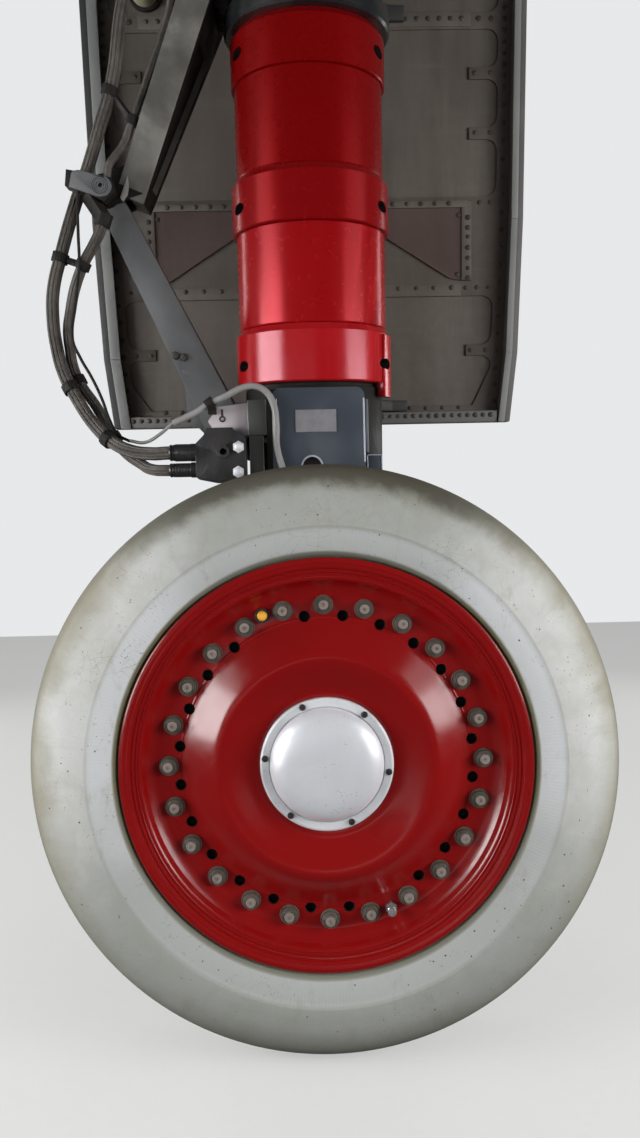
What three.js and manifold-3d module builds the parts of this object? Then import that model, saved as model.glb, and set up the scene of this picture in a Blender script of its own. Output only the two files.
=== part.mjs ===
// Aircraft main landing gear leg: one wheel, shock strut with collars, torque links, brake lines and door.
// Millimetres, +Z up. The axle runs along Y and the wheel's outer face looks towards -Y.
// The strut leans towards -Y at its top. The origin is the middle of the trunnion's left end face.
import * as THREE from 'three';
import { mergeVertices } from 'three/addons/utils/BufferGeometryUtils.js';
import Module from 'manifold-3d';

const wasm = await Module();
wasm.setup();

// Driving dimensions
const TYRE_RADIUS = 381;
const TYRE_HALF_WIDTH = 111;
const FLANGE_RADIUS = 260;
const FLANGE_HALF_WIDTH = 100;
const BOLT_COUNT = 24;
const VENT_CIRCLE_RADIUS = 187;
const VENT_RADIUS = 7.3;
const HUB_CAP_RADIUS = 72;
const HUB_RING_RADIUS = 84;
const AXLE_RADIUS = 45;
const AXLE_ROOT_RADIUS = 60;
const STRUT_LEAN = THREE.MathUtils.degToRad(6.5);
const STRUT_FOOT_Y = 327;
const PISTON_RADIUS = 70;
const SLEEVE_RADIUS = 118;
const COLLAR_RADIUS = 125.5;
const CYLINDER_RADIUS = 122;
const TRUNNION_HEIGHT = 1640;
const TRUNNION_HALF_SPAN = 190;
const TRUNNION_RADIUS = 46;
const KNEE = { x: -323, z: 853 };
const LOWER_PIN = { x: -139, z: 470 };
const UPPER_PIN = { x: -149.5, z: 1160 };
const UPPER_LINK_FOOT = { x: -283, z: 840 };
const LINK_PIN_RADIUS = 12;
const DOOR_BOTTOM = 492;
const DOOR_TOP = 1500;
const DOOR_SKIN = 4;
const GAP = 0.3;
const ROUND = 24;
const WHEEL_ROUND = 32;

// Finishes: colour, roughness and metalness
const FINISHES = {
  tyre: [0xb6b5ad, 0.9, 0],
  red: [0x9a1016, 0.25, 0.1],
  capSilver: [0xb9bac0, 0.4, 0.6],
  steel: [0x7d766c, 0.5, 0.7],
  black: [0x1d1f22, 0.4, 0.2],
  slate: [0x3c4149, 0.45, 0.2],
  linkGrey: [0x63656a, 0.5, 0.2],
  doorGrey: [0x57544f, 0.55, 0.3],
  chrome: [0xc8c9cc, 0.15, 1],
  hose: [0x4a4742, 0.8, 0],
  plug: [0xc88a1c, 0.5, 0.1],
  plate: [0x77757c, 0.5, 0.3],
};

// Solids

/** Turns a closed three.js geometry into a solid, with its faces pointing outwards. */
function solid(geometry) {
  const bare = geometry.clone();
  bare.deleteAttribute('normal');
  bare.deleteAttribute('uv');
  const merged = mergeVertices(bare, 1e-3);
  const positions = merged.getAttribute('position').array;
  const triangles = [];
  const index = merged.getIndex().array;
  let volume = 0;
  const a = new THREE.Vector3();
  const b = new THREE.Vector3();
  const c = new THREE.Vector3();
  for (let i = 0; i < index.length; i += 3) {
    const [p, q, r] = [index[i], index[i + 1], index[i + 2]];
    if (p === q || q === r || r === p) continue;
    triangles.push(p, q, r);
    a.fromArray(positions, p * 3);
    b.fromArray(positions, q * 3);
    c.fromArray(positions, r * 3);
    volume += a.dot(b.cross(c));
  }
  if (volume < 0) {
    for (let i = 0; i < triangles.length; i += 3) {
      [triangles[i], triangles[i + 1]] = [triangles[i + 1], triangles[i]];
    }
  }
  return new wasm.Manifold(new wasm.Mesh({
    numProp: 3,
    vertProperties: new Float32Array(positions),
    triVerts: new Uint32Array(triangles),
  }));
}

/** Turns a solid back into a three.js geometry. */
function geometryOf(body) {
  const mesh = body.getMesh();
  const geometry = new THREE.BufferGeometry();
  geometry.setAttribute('position', new THREE.BufferAttribute(mesh.vertProperties, 3));
  geometry.setIndex(new THREE.BufferAttribute(mesh.triVerts, 1));
  geometry.computeVertexNormals();
  return geometry;
}

const join = (first, ...others) => others.reduce((sum, next) => sum.add(next), first);
const cut = (first, ...others) => others.reduce((rest, next) => rest.subtract(next), first);

/** A closed outline of (radius, y) points turned about the Y axis. */
function turned(outline, segments = ROUND) {
  const points = outline.map(([radius, y]) => new THREE.Vector2(radius, y));
  if (outline[0][0] > 0) points.push(points[0].clone());
  return new THREE.LatheGeometry(points, segments);
}

/** A cylinder from y0 to y1 along Y, centred on (x, z). */
function rodY(radius, y0, y1, x = 0, z = 0, segments = ROUND) {
  const geometry = new THREE.CylinderGeometry(radius, radius, y1 - y0, segments);
  geometry.translate(x, (y0 + y1) / 2, z);
  return geometry;
}

/** A cylinder from z0 to z1 along Z, centred on (x, y). */
function rodZ(radius, z0, z1, x = 0, y = 0, segments = ROUND) {
  const geometry = new THREE.CylinderGeometry(radius, radius, z1 - z0, segments);
  geometry.rotateX(Math.PI / 2);
  geometry.translate(x, y, (z0 + z1) / 2);
  return geometry;
}

/** A cylinder from x0 to x1 along X, centred on (y, z). */
function rodX(radius, x0, x1, y = 0, z = 0, segments = ROUND) {
  const geometry = new THREE.CylinderGeometry(radius, radius, x1 - x0, segments);
  geometry.rotateZ(Math.PI / 2);
  geometry.translate((x0 + x1) / 2, y, z);
  return geometry;
}

/** A box between two corners. */
function block([x0, y0, z0], [x1, y1, z1]) {
  const geometry = new THREE.BoxGeometry(x1 - x0, y1 - y0, z1 - z0);
  geometry.translate((x0 + x1) / 2, (y0 + y1) / 2, (z0 + z1) / 2);
  return geometry;
}

/** An outline of (x, z) points made y0 to y1 thick. */
function slabY(outline, y0, y1) {
  const shape = new THREE.Shape(outline.map(([x, z]) => new THREE.Vector2(x, z)));
  const geometry = new THREE.ExtrudeGeometry(shape, { depth: y1 - y0, bevelEnabled: false });
  geometry.rotateX(Math.PI / 2);
  geometry.translate(0, y1, 0);
  return geometry;
}

/** An outline of (y, z) points made x0 to x1 thick. */
function slabX(outline, x0, x1) {
  const shape = new THREE.Shape(outline.map(([y, z]) => new THREE.Vector2(y, z)));
  const geometry = new THREE.ExtrudeGeometry(shape, { depth: x1 - x0, bevelEnabled: false });
  geometry.rotateX(Math.PI / 2);
  geometry.rotateZ(Math.PI / 2);
  geometry.translate(x0, 0, 0);
  return geometry;
}

/** A round tube of the given radius along a smooth curve through the points. */
function tubeAlong(points, radius, steps, sides = 8) {
  const curve = new THREE.CatmullRomCurve3(points.map((p) => new THREE.Vector3(...p)), false, 'centripetal');
  const section = new THREE.Shape();
  for (let i = 0; i < sides; i += 1) {
    const angle = (i / sides) * 2 * Math.PI;
    const x = radius * Math.cos(angle);
    const y = radius * Math.sin(angle);
    if (i === 0) section.moveTo(x, y);
    else section.lineTo(x, y);
  }
  section.closePath();
  return new THREE.ExtrudeGeometry(section, { steps, extrudePath: curve, bevelEnabled: false });
}

/** A bar between two points in the XZ plane, with its own width and depth at each end. */
function bar(start, end, width, depth, y = 0) {
  const along = new THREE.Vector2(end.x - start.x, end.z - start.z);
  const side = new THREE.Vector2(-along.y, along.x).normalize();
  const geometry = new THREE.BoxGeometry(1, 1, 1);
  const position = geometry.getAttribute('position');
  for (let i = 0; i < position.count; i += 1) {
    const atEnd = position.getZ(i) > 0 ? 1 : 0;
    const base = atEnd ? end : start;
    const across = position.getX(i) * width[atEnd];
    position.setXYZ(
      i,
      base.x + side.x * across,
      y + position.getY(i) * depth[atEnd],
      base.z + side.y * across,
    );
  }
  return geometry;
}

/** Strut coordinates to wheel coordinates. */
const strutMatrix = new THREE.Matrix4()
  .makeRotationX(STRUT_LEAN)
  .setPosition(0, STRUT_FOOT_Y, 0);
const alongStrut = (geometry) => geometry.clone().applyMatrix4(strutMatrix);
const onStrut = (x, y, z) => new THREE.Vector3(x, y, z).applyMatrix4(strutMatrix);

// The groups: the whole leg is moved so that the origin lies on the trunnion's left end face

const group = new THREE.Group();
const leg = new THREE.Group();
const strut = new THREE.Group();
const wheel = new THREE.Group();
strut.position.set(0, STRUT_FOOT_Y, 0);
strut.rotation.x = STRUT_LEAN;
const trunnionEnd = onStrut(-TRUNNION_HALF_SPAN, 0, TRUNNION_HEIGHT);
leg.position.copy(trunnionEnd).negate();
wheel.position.copy(leg.position);
leg.add(strut);
group.add(leg, wheel);

/** Adds a named sub-part with its finish to a group. */
function part(name, body, finish, parent) {
  const [color, roughness, metalness] = FINISHES[finish];
  const material = new THREE.MeshStandardMaterial({ color, roughness, metalness });
  const mesh = new THREE.Mesh(geometryOf(body), material);
  mesh.name = name;
  parent.add(mesh);
}

// Wheel

/** Places on a circle about the axle: angle in degrees from +X towards +Z. */
const around = (radius, degrees) => {
  const angle = THREE.MathUtils.degToRad(degrees);
  return [radius * Math.cos(angle), radius * Math.sin(angle)];
};
const BOLT_STEP = 360 / BOLT_COUNT;
const PLUG_CIRCLE_RADIUS = 203;
const PLUG_ANGLE = 112.5;
const VALVE_ANGLE = -67.5;

function buildTyre() {
  // radius, y: outer half section from the crown to the bead, then back along the inside
  const half = [
    [TYRE_RADIUS, 0], [380, 24], [376, 50], [367, 74], [350, 96], [327, 108],
    [303, TYRE_HALF_WIDTH], [280, 107.5], [262.5, 100], [262, 94], [256.5, 87.7],
    [238.4, 87.5], [238.4, 66], [258, 70], [284, 93], [326, 93], [354, 70], [366, 0],
  ];
  const mirrored = half.slice(1, -1).reverse().map(([radius, y]) => [radius, -y]);
  part('tyre', solid(turned([...half, ...mirrored], WHEEL_ROUND)), 'tyre', wheel);
}

function buildOuterHalf() {
  // radius, y: hub face, recess, bulge, bolt flat, concave barrel, stepped flange, bead seat, inside
  const outline = [
    [AXLE_RADIUS + GAP, -84], [88, -84], [92, -80], [101, -79], [108, -88], [118, -98],
    [134, -103], [152, -100], [168, -89], [183, -74],
    [212, -74], [224, -79], [232, -92], [248, -98.5],
    [257, -FLANGE_HALF_WIDTH], [FLANGE_RADIUS, -97], [257, -90.5], [251, -88], [238, -88],
    [238, -58], [230, -50], [230, -0.2], [219, -0.2], [219, -58], [183, -58],
    [150, -87], [126, -87], [100, -62], [70, -62], [70, 40], [AXLE_RADIUS + GAP, 40],
  ];
  let body = solid(turned(outline, WHEEL_ROUND));
  for (let i = 0; i < BOLT_COUNT; i += 1) {
    const ventAngle = 90 + (i + 0.5) * BOLT_STEP;
    if (ventAngle === PLUG_ANGLE || ventAngle === VALVE_ANGLE + 360) continue;
    const [ventX, ventZ] = around(VENT_CIRCLE_RADIUS, ventAngle);
    body = cut(body, solid(rodY(VENT_RADIUS, -95, -50, ventX, ventZ, 6)));
  }
  part('wheel_outer_half', body, 'red', wheel);
}

function buildInnerHalf() {
  // radius, y: bolt flange, sleeve inside the outer half, barrel and inner flange
  const outline = [
    [182, -57.7], [218.7, -57.7], [218.7, 0.2], [230, 0.2], [230, 50], [238, 58], [238, 88],
    [251, 88], [257, 90.5], [FLANGE_RADIUS, 97], [257, FLANGE_HALF_WIDTH], [240, 97], [226, 84],
    [218, 56], [206, 30], [206, -42], [182, -42],
  ];
  part('wheel_inner_half', solid(turned(outline, WHEEL_ROUND)), 'red', wheel);
}

function buildHubCap() {
  const seat = -84 - GAP;
  const dome = [[0, -114], [26, -113], [48, -109.5], [62, -104], [70, -97], [HUB_CAP_RADIUS, -91]];
  part('hub_cap', solid(turned([...dome, [HUB_CAP_RADIUS, seat], [0, seat]])), 'capSilver', wheel);
  const ring = [
    [HUB_CAP_RADIUS + GAP, seat], [HUB_CAP_RADIUS + GAP, -92], [82, -92],
    [HUB_RING_RADIUS, -90], [HUB_RING_RADIUS, seat],
  ];
  part('hub_cap_ring', solid(turned(ring)), 'capSilver', wheel);
  const flat = -74 - GAP;
  const [plugX, plugZ] = around(PLUG_CIRCLE_RADIUS, PLUG_ANGLE);
  part('filler_plug', solid(rodY(8, -84, flat, plugX, plugZ, 12)), 'plug', wheel);
  const [valveX, valveZ] = around(PLUG_CIRCLE_RADIUS, VALVE_ANGLE);
  const valve = join(
    solid(rodY(8, -82, flat, valveX, valveZ, 6)),
    solid(rodY(5.5, -94, -81, valveX, valveZ, 10)),
  );
  part('inflation_valve', valve, 'chrome', wheel);
}

// Axle end

function buildAxle() {
  const outline = [
    [0, -78], [AXLE_RADIUS, -78], [AXLE_RADIUS, 58], [AXLE_ROOT_RADIUS, 66],
    [AXLE_ROOT_RADIUS, 430], [0, 430],
  ];
  part('axle', solid(turned(outline)), 'chrome', leg);
}

function buildBrake() {
  const bore = AXLE_ROOT_RADIUS + GAP;
  const outline = [
    [76, -25], [108, -25], [108, 86.3], [150, 86.3], [150, 127.7], [bore, 127.7], [bore, 70], [76, 70],
  ];
  let body = solid(turned(outline));
  for (let i = 0; i < 6; i += 1) {
    const [x, z] = around(136, 30 + 60 * i);
    body = join(body, solid(rodY(26, 92, 127.7, x, z, 14)));
  }
  part('brake_housing', body, 'slate', leg);
  const stack = [
    [108 + GAP, -34], [180, -34], [192, -24], [192, 74], [180, 86], [108 + GAP, 86],
  ];
  part('brake_stack', solid(turned(stack)), 'steel', leg);
}

// The side view of the axle housing's web: y, z from the front top, downwards and back up
const HOUSING_SIDE = [
  [150, 519], [150, 118], [128, 92], [128, -70], [180, -92], [300, -92], [392, -60], [424, 0],
  [424, 90], [404, 190], [380, 360], [366, 530],
];
const HOUSING_POCKET = [
  [182, 400], [182, 150], [300, 118], [376, 170], [352, 400],
];
const HOUSING_HALF_WIDTH = 75;
const HOUSING_BARREL_RADIUS = 112;
const SHELF_FRONT = 166;

function buildAxleHousing() {
  const barrel = alongStrut(rodZ(HOUSING_BARREL_RADIUS, 430, 540));
  const bored = alongStrut(rodZ(PISTON_RADIUS + GAP, 500, 560, 0, 0, WHEEL_ROUND));
  const boss = rodY(92, 128, 424);
  let body = solid(slabX(HOUSING_SIDE, -HOUSING_HALF_WIDTH, HOUSING_HALF_WIDTH));
  body = join(body, solid(barrel), solid(boss));
  for (const [side, top] of [[-1, 440], [1, 418]]) {
    const outline = [[101, top], [101, 320], [76, 290], [60, 290], [60, top]].map(([x, z]) => [x * side, z]);
    body = join(body, solid(slabY(outline, SHELF_FRONT, 250)));
    const pocketSide = [side * HOUSING_HALF_WIDTH * 0.45, side * 200].sort((a, b) => a - b);
    body = cut(body, solid(slabX(HOUSING_POCKET, ...pocketSide)));
  }
  // Lug inside the lower torque link's fork, and the boss that the box bracket is bolted to
  const lug = [[-60, 412], [LOWER_PIN.x, LOWER_PIN.z - 32], [LOWER_PIN.x, LOWER_PIN.z + 32], [-60, 512]];
  body = join(
    body,
    solid(alongStrut(slabY(lug, -LUG_HALF, LUG_HALF))),
    solid(alongStrut(rodY(32, -LUG_HALF, LUG_HALF, LOWER_PIN.x, LOWER_PIN.z, 24))),
    solid(block([-98, 176 + GAP, 452], [-60, 250, 500])),
  );
  body = cut(
    body,
    solid(alongStrut(rodY(LINK_PIN_RADIUS + GAP, -60, 60, LOWER_PIN.x, LOWER_PIN.z, 16))),
    solid(bored),
    solid(rodY(AXLE_ROOT_RADIUS + GAP, 100, 430 + GAP)),
    // Arched hollow in the front face, above the tyre
    solid(rodY(15, 140, 156, -7, 400, 16)),
  );
  part('axle_housing', body, 'slate', leg);
  part('blank_plate', solid(block([-31, 147.7, 452], [31, 150 - GAP, 486])), 'plate', leg);
}

function buildJackPad() {
  // radius, height
  const outline = [[0, -118], [22, -118], [22, -108], [34, -100], [34, -92.3], [0, -92.3]];
  const geometry = turned(outline, 24);
  geometry.rotateX(Math.PI / 2);
  geometry.translate(0, 240, 0);
  part('jack_pad', solid(geometry), 'steel', leg);
}

// Strut

// name, lower end, upper end, outer radius, spanner hole height or 0
const COLLARS = [
  { name: 'collar_lower', low: 546.5, high: 633.5, radius: COLLAR_RADIUS, hole: 576 },
  { name: 'sleeve_lower', low: 633.8, high: 781.5, radius: SLEEVE_RADIUS + 1, hole: 0 },
  { name: 'collar_middle', low: 781.8, high: 865, radius: COLLAR_RADIUS, hole: 815 },
  { name: 'sleeve_upper', low: 865.3, high: 1004, radius: SLEEVE_RADIUS - 1, hole: 0 },
  { name: 'collar_upper', low: 1004.3, high: 1081.5, radius: COLLAR_RADIUS - 4, hole: 1042 },
];
const SPANNER_ANGLES = [63, 117, 243, 297];

/** A curved strip about Z between two radii, from one angle to another, towards -Y from +X. */
function curvedStrip(inner, outer, fromDegrees, toDegrees, z0, z1) {
  const arc = (radius) => [0, 0.25, 0.5, 0.75, 1].map((share) => {
    const angle = THREE.MathUtils.degToRad(fromDegrees + share * (toDegrees - fromDegrees));
    return new THREE.Vector2(radius * Math.cos(angle), -radius * Math.sin(angle));
  });
  const shape = new THREE.Shape([...arc(outer), ...arc(inner).reverse()]);
  const geometry = new THREE.ExtrudeGeometry(shape, { depth: z1 - z0, bevelEnabled: false });
  geometry.translate(0, 0, z0);
  return geometry;
}

function buildCollars() {
  for (const { name, low, high, radius, hole } of COLLARS) {
    const chamfer = hole ? 9 : 1.5;
    const outline = [
      [PISTON_RADIUS + GAP, low], [radius - 1.5, low], [radius, low + 1.5],
      [radius, high - chamfer], [radius - chamfer * 0.8, high], [PISTON_RADIUS + GAP, high],
    ];
    const geometry = turned(outline, WHEEL_ROUND);
    geometry.rotateX(Math.PI / 2);
    let body = solid(geometry);
    // Locking strip up the lowest collar's side, which reaches down past the housing's barrel
    if (name === 'collar_lower') body = join(body, solid(curvedStrip(116, 129, 15, 31, 525, 622)));
    if (hole) {
      for (const degrees of SPANNER_ANGLES) {
        const pin = rodY(8, -radius - 5, -radius + 14, 0, 0, 8);
        pin.rotateZ(THREE.MathUtils.degToRad(degrees));
        pin.translate(0, 0, hole);
        body = cut(body, solid(pin));
      }
    }
    part(name, body, 'red', strut);
  }
  part('piston', solid(rodZ(PISTON_RADIUS, 500.3, 1180, 0, 0, WHEEL_ROUND)), 'chrome', strut);
  const gland = [
    [PISTON_RADIUS + GAP, 1081.8], [127, 1081.8], [130, 1085], [130, 1112], [126, 1116],
    [PISTON_RADIUS + GAP, 1116],
  ];
  const glandGeometry = turned(gland, WHEEL_ROUND);
  glandGeometry.rotateX(Math.PI / 2);
  part('gland_ring', solid(glandGeometry), 'black', strut);
}

function buildCylinder() {
  let body = join(
    solid(rodZ(CYLINDER_RADIUS, 1116.3, 1560)),
    solid(rodZ(96, 1559, 1640)),
    solid(rodX(78, -120, 120, 0, TRUNNION_HEIGHT)),
    // Lug inside the upper torque link's fork
    solid(slabY(
      [[-90, 1120], [UPPER_PIN.x, 1128], [UPPER_PIN.x, 1192], [-90, 1210]],
      -UPPER_LUG_HALF,
      UPPER_LUG_HALF,
    )),
    solid(rodY(32, -UPPER_LUG_HALF, UPPER_LUG_HALF, UPPER_PIN.x, UPPER_PIN.z, 24)),
    // Bosses that the brake lines run down from
    solid(block([-150, -52, 1440.3], [-90, -24, 1474])),
    solid(block([-134, -90, 1400.3], [-80, -58, 1424])),
    // Lug for the brace, on the side of the strut that faces the door
    solid(slabX([[60, 1390], [60, 1470], [168, 1452], [168, 1408]], -24, 24)),
  );
  body = cut(
    body,
    solid(rodX(TRUNNION_RADIUS + GAP, -130, 130, 0, TRUNNION_HEIGHT)),
    solid(rodZ(PISTON_RADIUS + GAP, 1100, 1500, 0, 0, WHEEL_ROUND)),
    solid(rodY(LINK_PIN_RADIUS + GAP, -80, 80, UPPER_PIN.x, UPPER_PIN.z, 16)),
  );
  part('outer_cylinder', body, 'black', strut);
  const trunnion = solid(rodX(TRUNNION_RADIUS, -TRUNNION_HALF_SPAN, TRUNNION_HALF_SPAN, 0, TRUNNION_HEIGHT));
  part('trunnion_beam', trunnion, 'chrome', strut);
}

// Torque links

const PIN_BORE = LINK_PIN_RADIUS + GAP;
const LUG_HALF = 30;
const UPPER_LUG_HALF = 60;
const KNEE_HALF = 21;
const KNEE_BLOCK = [[-374, 877], [-377, 853], [-340, 839], [-318, 829], [-302, 843], [-306, 864]];

function buildTorqueLinks() {
  const pinHole = (at) => solid(rodY(PIN_BORE, -90, 90, at.x, at.z, 16));
  // Each link is a fork about its lug on the strut. The lower link's knee boss turns inside the upper link.
  const flaredFoot = [[-212, 575], [-207, 540], [-205, 500], [-176, 470], [-140, 470], [-150, 560]];
  const lower = cut(
    join(
      solid(bar(LOWER_PIN, KNEE, [60, 40], [96, 36])),
      solid(slabY(flaredFoot, -40, 40)),
      solid(rodY(30, -48, 48, LOWER_PIN.x, LOWER_PIN.z, 24)),
      solid(rodY(24, -KNEE_HALF, KNEE_HALF, KNEE.x, KNEE.z, 24)),
    ),
    solid(rodY(46, -LUG_HALF - GAP, LUG_HALF + GAP, LOWER_PIN.x, LOWER_PIN.z, 24)),
    pinHole(LOWER_PIN),
    pinHole(KNEE),
  );
  part('lower_torque_link', lower, 'linkGrey', strut);
  const upper = cut(
    join(
      solid(bar(UPPER_PIN, UPPER_LINK_FOOT, [48, 46], [160, 66])),
      solid(rodY(34, -80, 80, UPPER_PIN.x, UPPER_PIN.z, 24)),
      solid(bar(KNEE, { x: -270, z: 870 }, [44, 50], [70, 70])),
      solid(rodY(25, -35, 35, KNEE.x, KNEE.z, 24)),
    ),
    solid(rodY(46, -UPPER_LUG_HALF - GAP, UPPER_LUG_HALF + GAP, UPPER_PIN.x, UPPER_PIN.z, 24)),
    solid(rodY(44, -KNEE_HALF - GAP, KNEE_HALF + GAP, KNEE.x, KNEE.z, 24)),
    // Groove along the side that faces the strut
    solid(bar({ x: -158.7, z: 1075.8 }, { x: -249.3, z: 858.5 }, [20, 20], [104, 44])),
    pinHole(UPPER_PIN),
    pinHole(KNEE),
  );
  part('upper_torque_link', upper, 'linkGrey', strut);
  part('knee_pin', solid(rodY(LINK_PIN_RADIUS, -61, 42, KNEE.x, KNEE.z, 16)), 'steel', strut);
  part('upper_link_pin', solid(rodY(LINK_PIN_RADIUS, -86, 86, UPPER_PIN.x, UPPER_PIN.z, 16)), 'steel', strut);
  part('lower_link_pin', solid(rodY(LINK_PIN_RADIUS, -54, 54, LOWER_PIN.x, LOWER_PIN.z, 16)), 'steel', strut);
  // Block on the knee pin's end. Its arm holds the cup that the inner hose starts from.
  const { points, radius, steps } = HOSES[1];
  const start = new THREE.Vector3(...points[0]);
  const down = new THREE.Vector3(...points[1]).sub(start).normalize();
  const cup = ringAround({ at: start.clone().addScaledVector(down, 2), along: down }, 13, 20);
  const insideCup = [start.clone().addScaledVector(down, -GAP).toArray(), ...points.slice(1)];
  const kneeBlock = cut(
    join(
      solid(slabY(KNEE_BLOCK, -60, -35.3)),
      solid(bridge(new THREE.Vector3(-345, -48, 842), start, 18)),
      solid(cup),
    ),
    solid(rodY(PIN_BORE, -70, 0, KNEE.x, KNEE.z, 16)),
    solid(tubeAlong(insideCup, radius + GAP, steps)),
  );
  part('knee_block', kneeBlock, 'linkGrey', strut);
}

// Brake lines: routes in strut coordinates, x, y, z
const HOSES = [
  {
    name: 'hose_main', radius: 10, steps: 34,
    points: [
      [-136, -38, 1440], [-136, -38, 1424], [-160, -41, 1390], [-197, -44, 1330],
      [-228, -45, 1255], [-255, -45, 1190], [-278, -44, 1126], [-302, -38, 1010],
      [-326, -31, 946], [-351, -24, 883], [-369, -24, 840],
      [-395, -34, 756], [-409, -38, 702], [-411, -42, 657], [-406, -48, 613], [-395, -56, 571],
      [-377, -66, 536], [-341, -90, 485], [-314, -106, 461], [-285, -122, 447], [-244, -145, 441],
      [-226, -148, 441.6], [-212, -148, 441.6],
    ],
  },
  {
    name: 'hose_inner', radius: 8.5, steps: 26,
    points: [
      [-322, -48, 806], [-327, -48, 792], [-341, -47, 766], [-357, -45, 741], [-375, -40, 702],
      [-384, -36, 670], [-390, -34, 640], [-389, -33, 609], [-385, -36, 584], [-374, -42, 557],
      [-346, -56, 517], [-325, -66, 480], [-302, -82, 448], [-272, -104, 427], [-246, -140, 417],
      [-226, -150.9, 415.8], [-212, -150.9, 415.8],
    ],
  },
  {
    name: 'hose_upper', radius: 6, steps: 16,
    points: [
      [-122, -74, 1400], [-122, -74, 1386], [-140, -78, 1340], [-174, -76, 1265],
      [-197, -70, 1205], [-200, -58, 1150], [-209, -46, 1107], [-225, -38, 1070], [-241, -36, 1032],
      [-254, -36, 1000], [-265.5, -36, 972.6], [-275.6, -38, 948], [-288, -41, 918],
      [-302, -46, 898], [-310.6, -50, 883.5], [-313.9, -50, 865.8],
    ],
  },
];

// Clamps: name, and for each line that it holds the line's index and its height on the strut
const CLAMPS = [
  { name: 'hose_clamp_upper', grips: [[0, 1000], [2, 955]] },
  { name: 'hose_clamp_middle', grips: [[0, 752], [1, 738]] },
  { name: 'hose_clamp_lower', grips: [[0, 548], [1, 560]] },
  { name: 'hose_clamp_foot', grips: [[0, 466], [1, 468]] },
];

// Conduit in wheel coordinates, from the hose bundle over its clip and down to the brake
const CONDUIT_RADIUS = 5;
const CONDUIT_STEPS = 30;
const CONDUIT_POINTS = [
  [-288, 176, 448], [-263, 168, 444], [-238, 162, 456], [-218, 158, 471], [-180, 152, 487],
  [-160, 146, 498], [-134, 140, 508], [-110, 138, 519], [-92, 138, 521], [-75, 138, 513],
  [-64, 139, 494], [-60, 140, 463], [-60, 140, 430], [-50, 138, 391], [-30, 128, 330],
  [-8, 116, 260], [0, 112, 190], [0, 112, 162.5],
];

const curveThrough = (points) => new THREE.CatmullRomCurve3(
  points.map((p) => new THREE.Vector3(...p)), false, 'centripetal',
);

/** The place and direction on a line at a height, searched from its top end. */
function placeAtHeight(points, height) {
  const curve = curveThrough(points);
  let u = 0;
  while (u < 1 && curve.getPointAt(u).z > height) u += 0.002;
  return { at: curve.getPointAt(u), along: curve.getTangentAt(u) };
}

/** A ring around a line, square to it. */
function ringAround({ at, along }, radius, length) {
  const geometry = new THREE.CylinderGeometry(radius, radius, length, 10);
  const turn = new THREE.Quaternion().setFromUnitVectors(new THREE.Vector3(0, 1, 0), along);
  geometry.applyQuaternion(turn);
  geometry.translate(at.x, at.y, at.z);
  return geometry;
}

/** A square bridge between two places. */
function bridge(from, to, thickness) {
  const along = to.clone().sub(from);
  const geometry = new THREE.BoxGeometry(thickness, along.length(), thickness);
  geometry.applyQuaternion(
    new THREE.Quaternion().setFromUnitVectors(new THREE.Vector3(0, 1, 0), along.clone().normalize()),
  );
  const middle = from.clone().add(to).multiplyScalar(0.5);
  geometry.translate(middle.x, middle.y, middle.z);
  return geometry;
}

function buildHoses() {
  for (const { name, points, radius, steps } of HOSES) {
    part(name, solid(tubeAlong(points, radius, steps)), 'hose', strut);
  }
  for (const { name, grips } of CLAMPS) {
    const places = grips.map(([line, height]) => placeAtHeight(HOSES[line].points, height));
    const rings = grips.map(([line], i) => solid(ringAround(places[i], HOSES[line].radius + 3.5, 14)));
    const band = solid(bridge(places[0].at, places[1].at, 8));
    const bores = grips.map(([line]) => {
      const { points, radius, steps } = HOSES[line];
      return solid(tubeAlong(points, radius + GAP, steps));
    });
    part(name, cut(join(...rings, band), ...bores), 'black', strut);
  }
  part('brake_conduit', solid(tubeAlong(CONDUIT_POINTS, CONDUIT_RADIUS, CONDUIT_STEPS)), 'linkGrey', leg);
}

// Brackets and brake manifold at the housing's left side, in wheel coordinates
const BRACKET_FRONT = 150.3;

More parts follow.
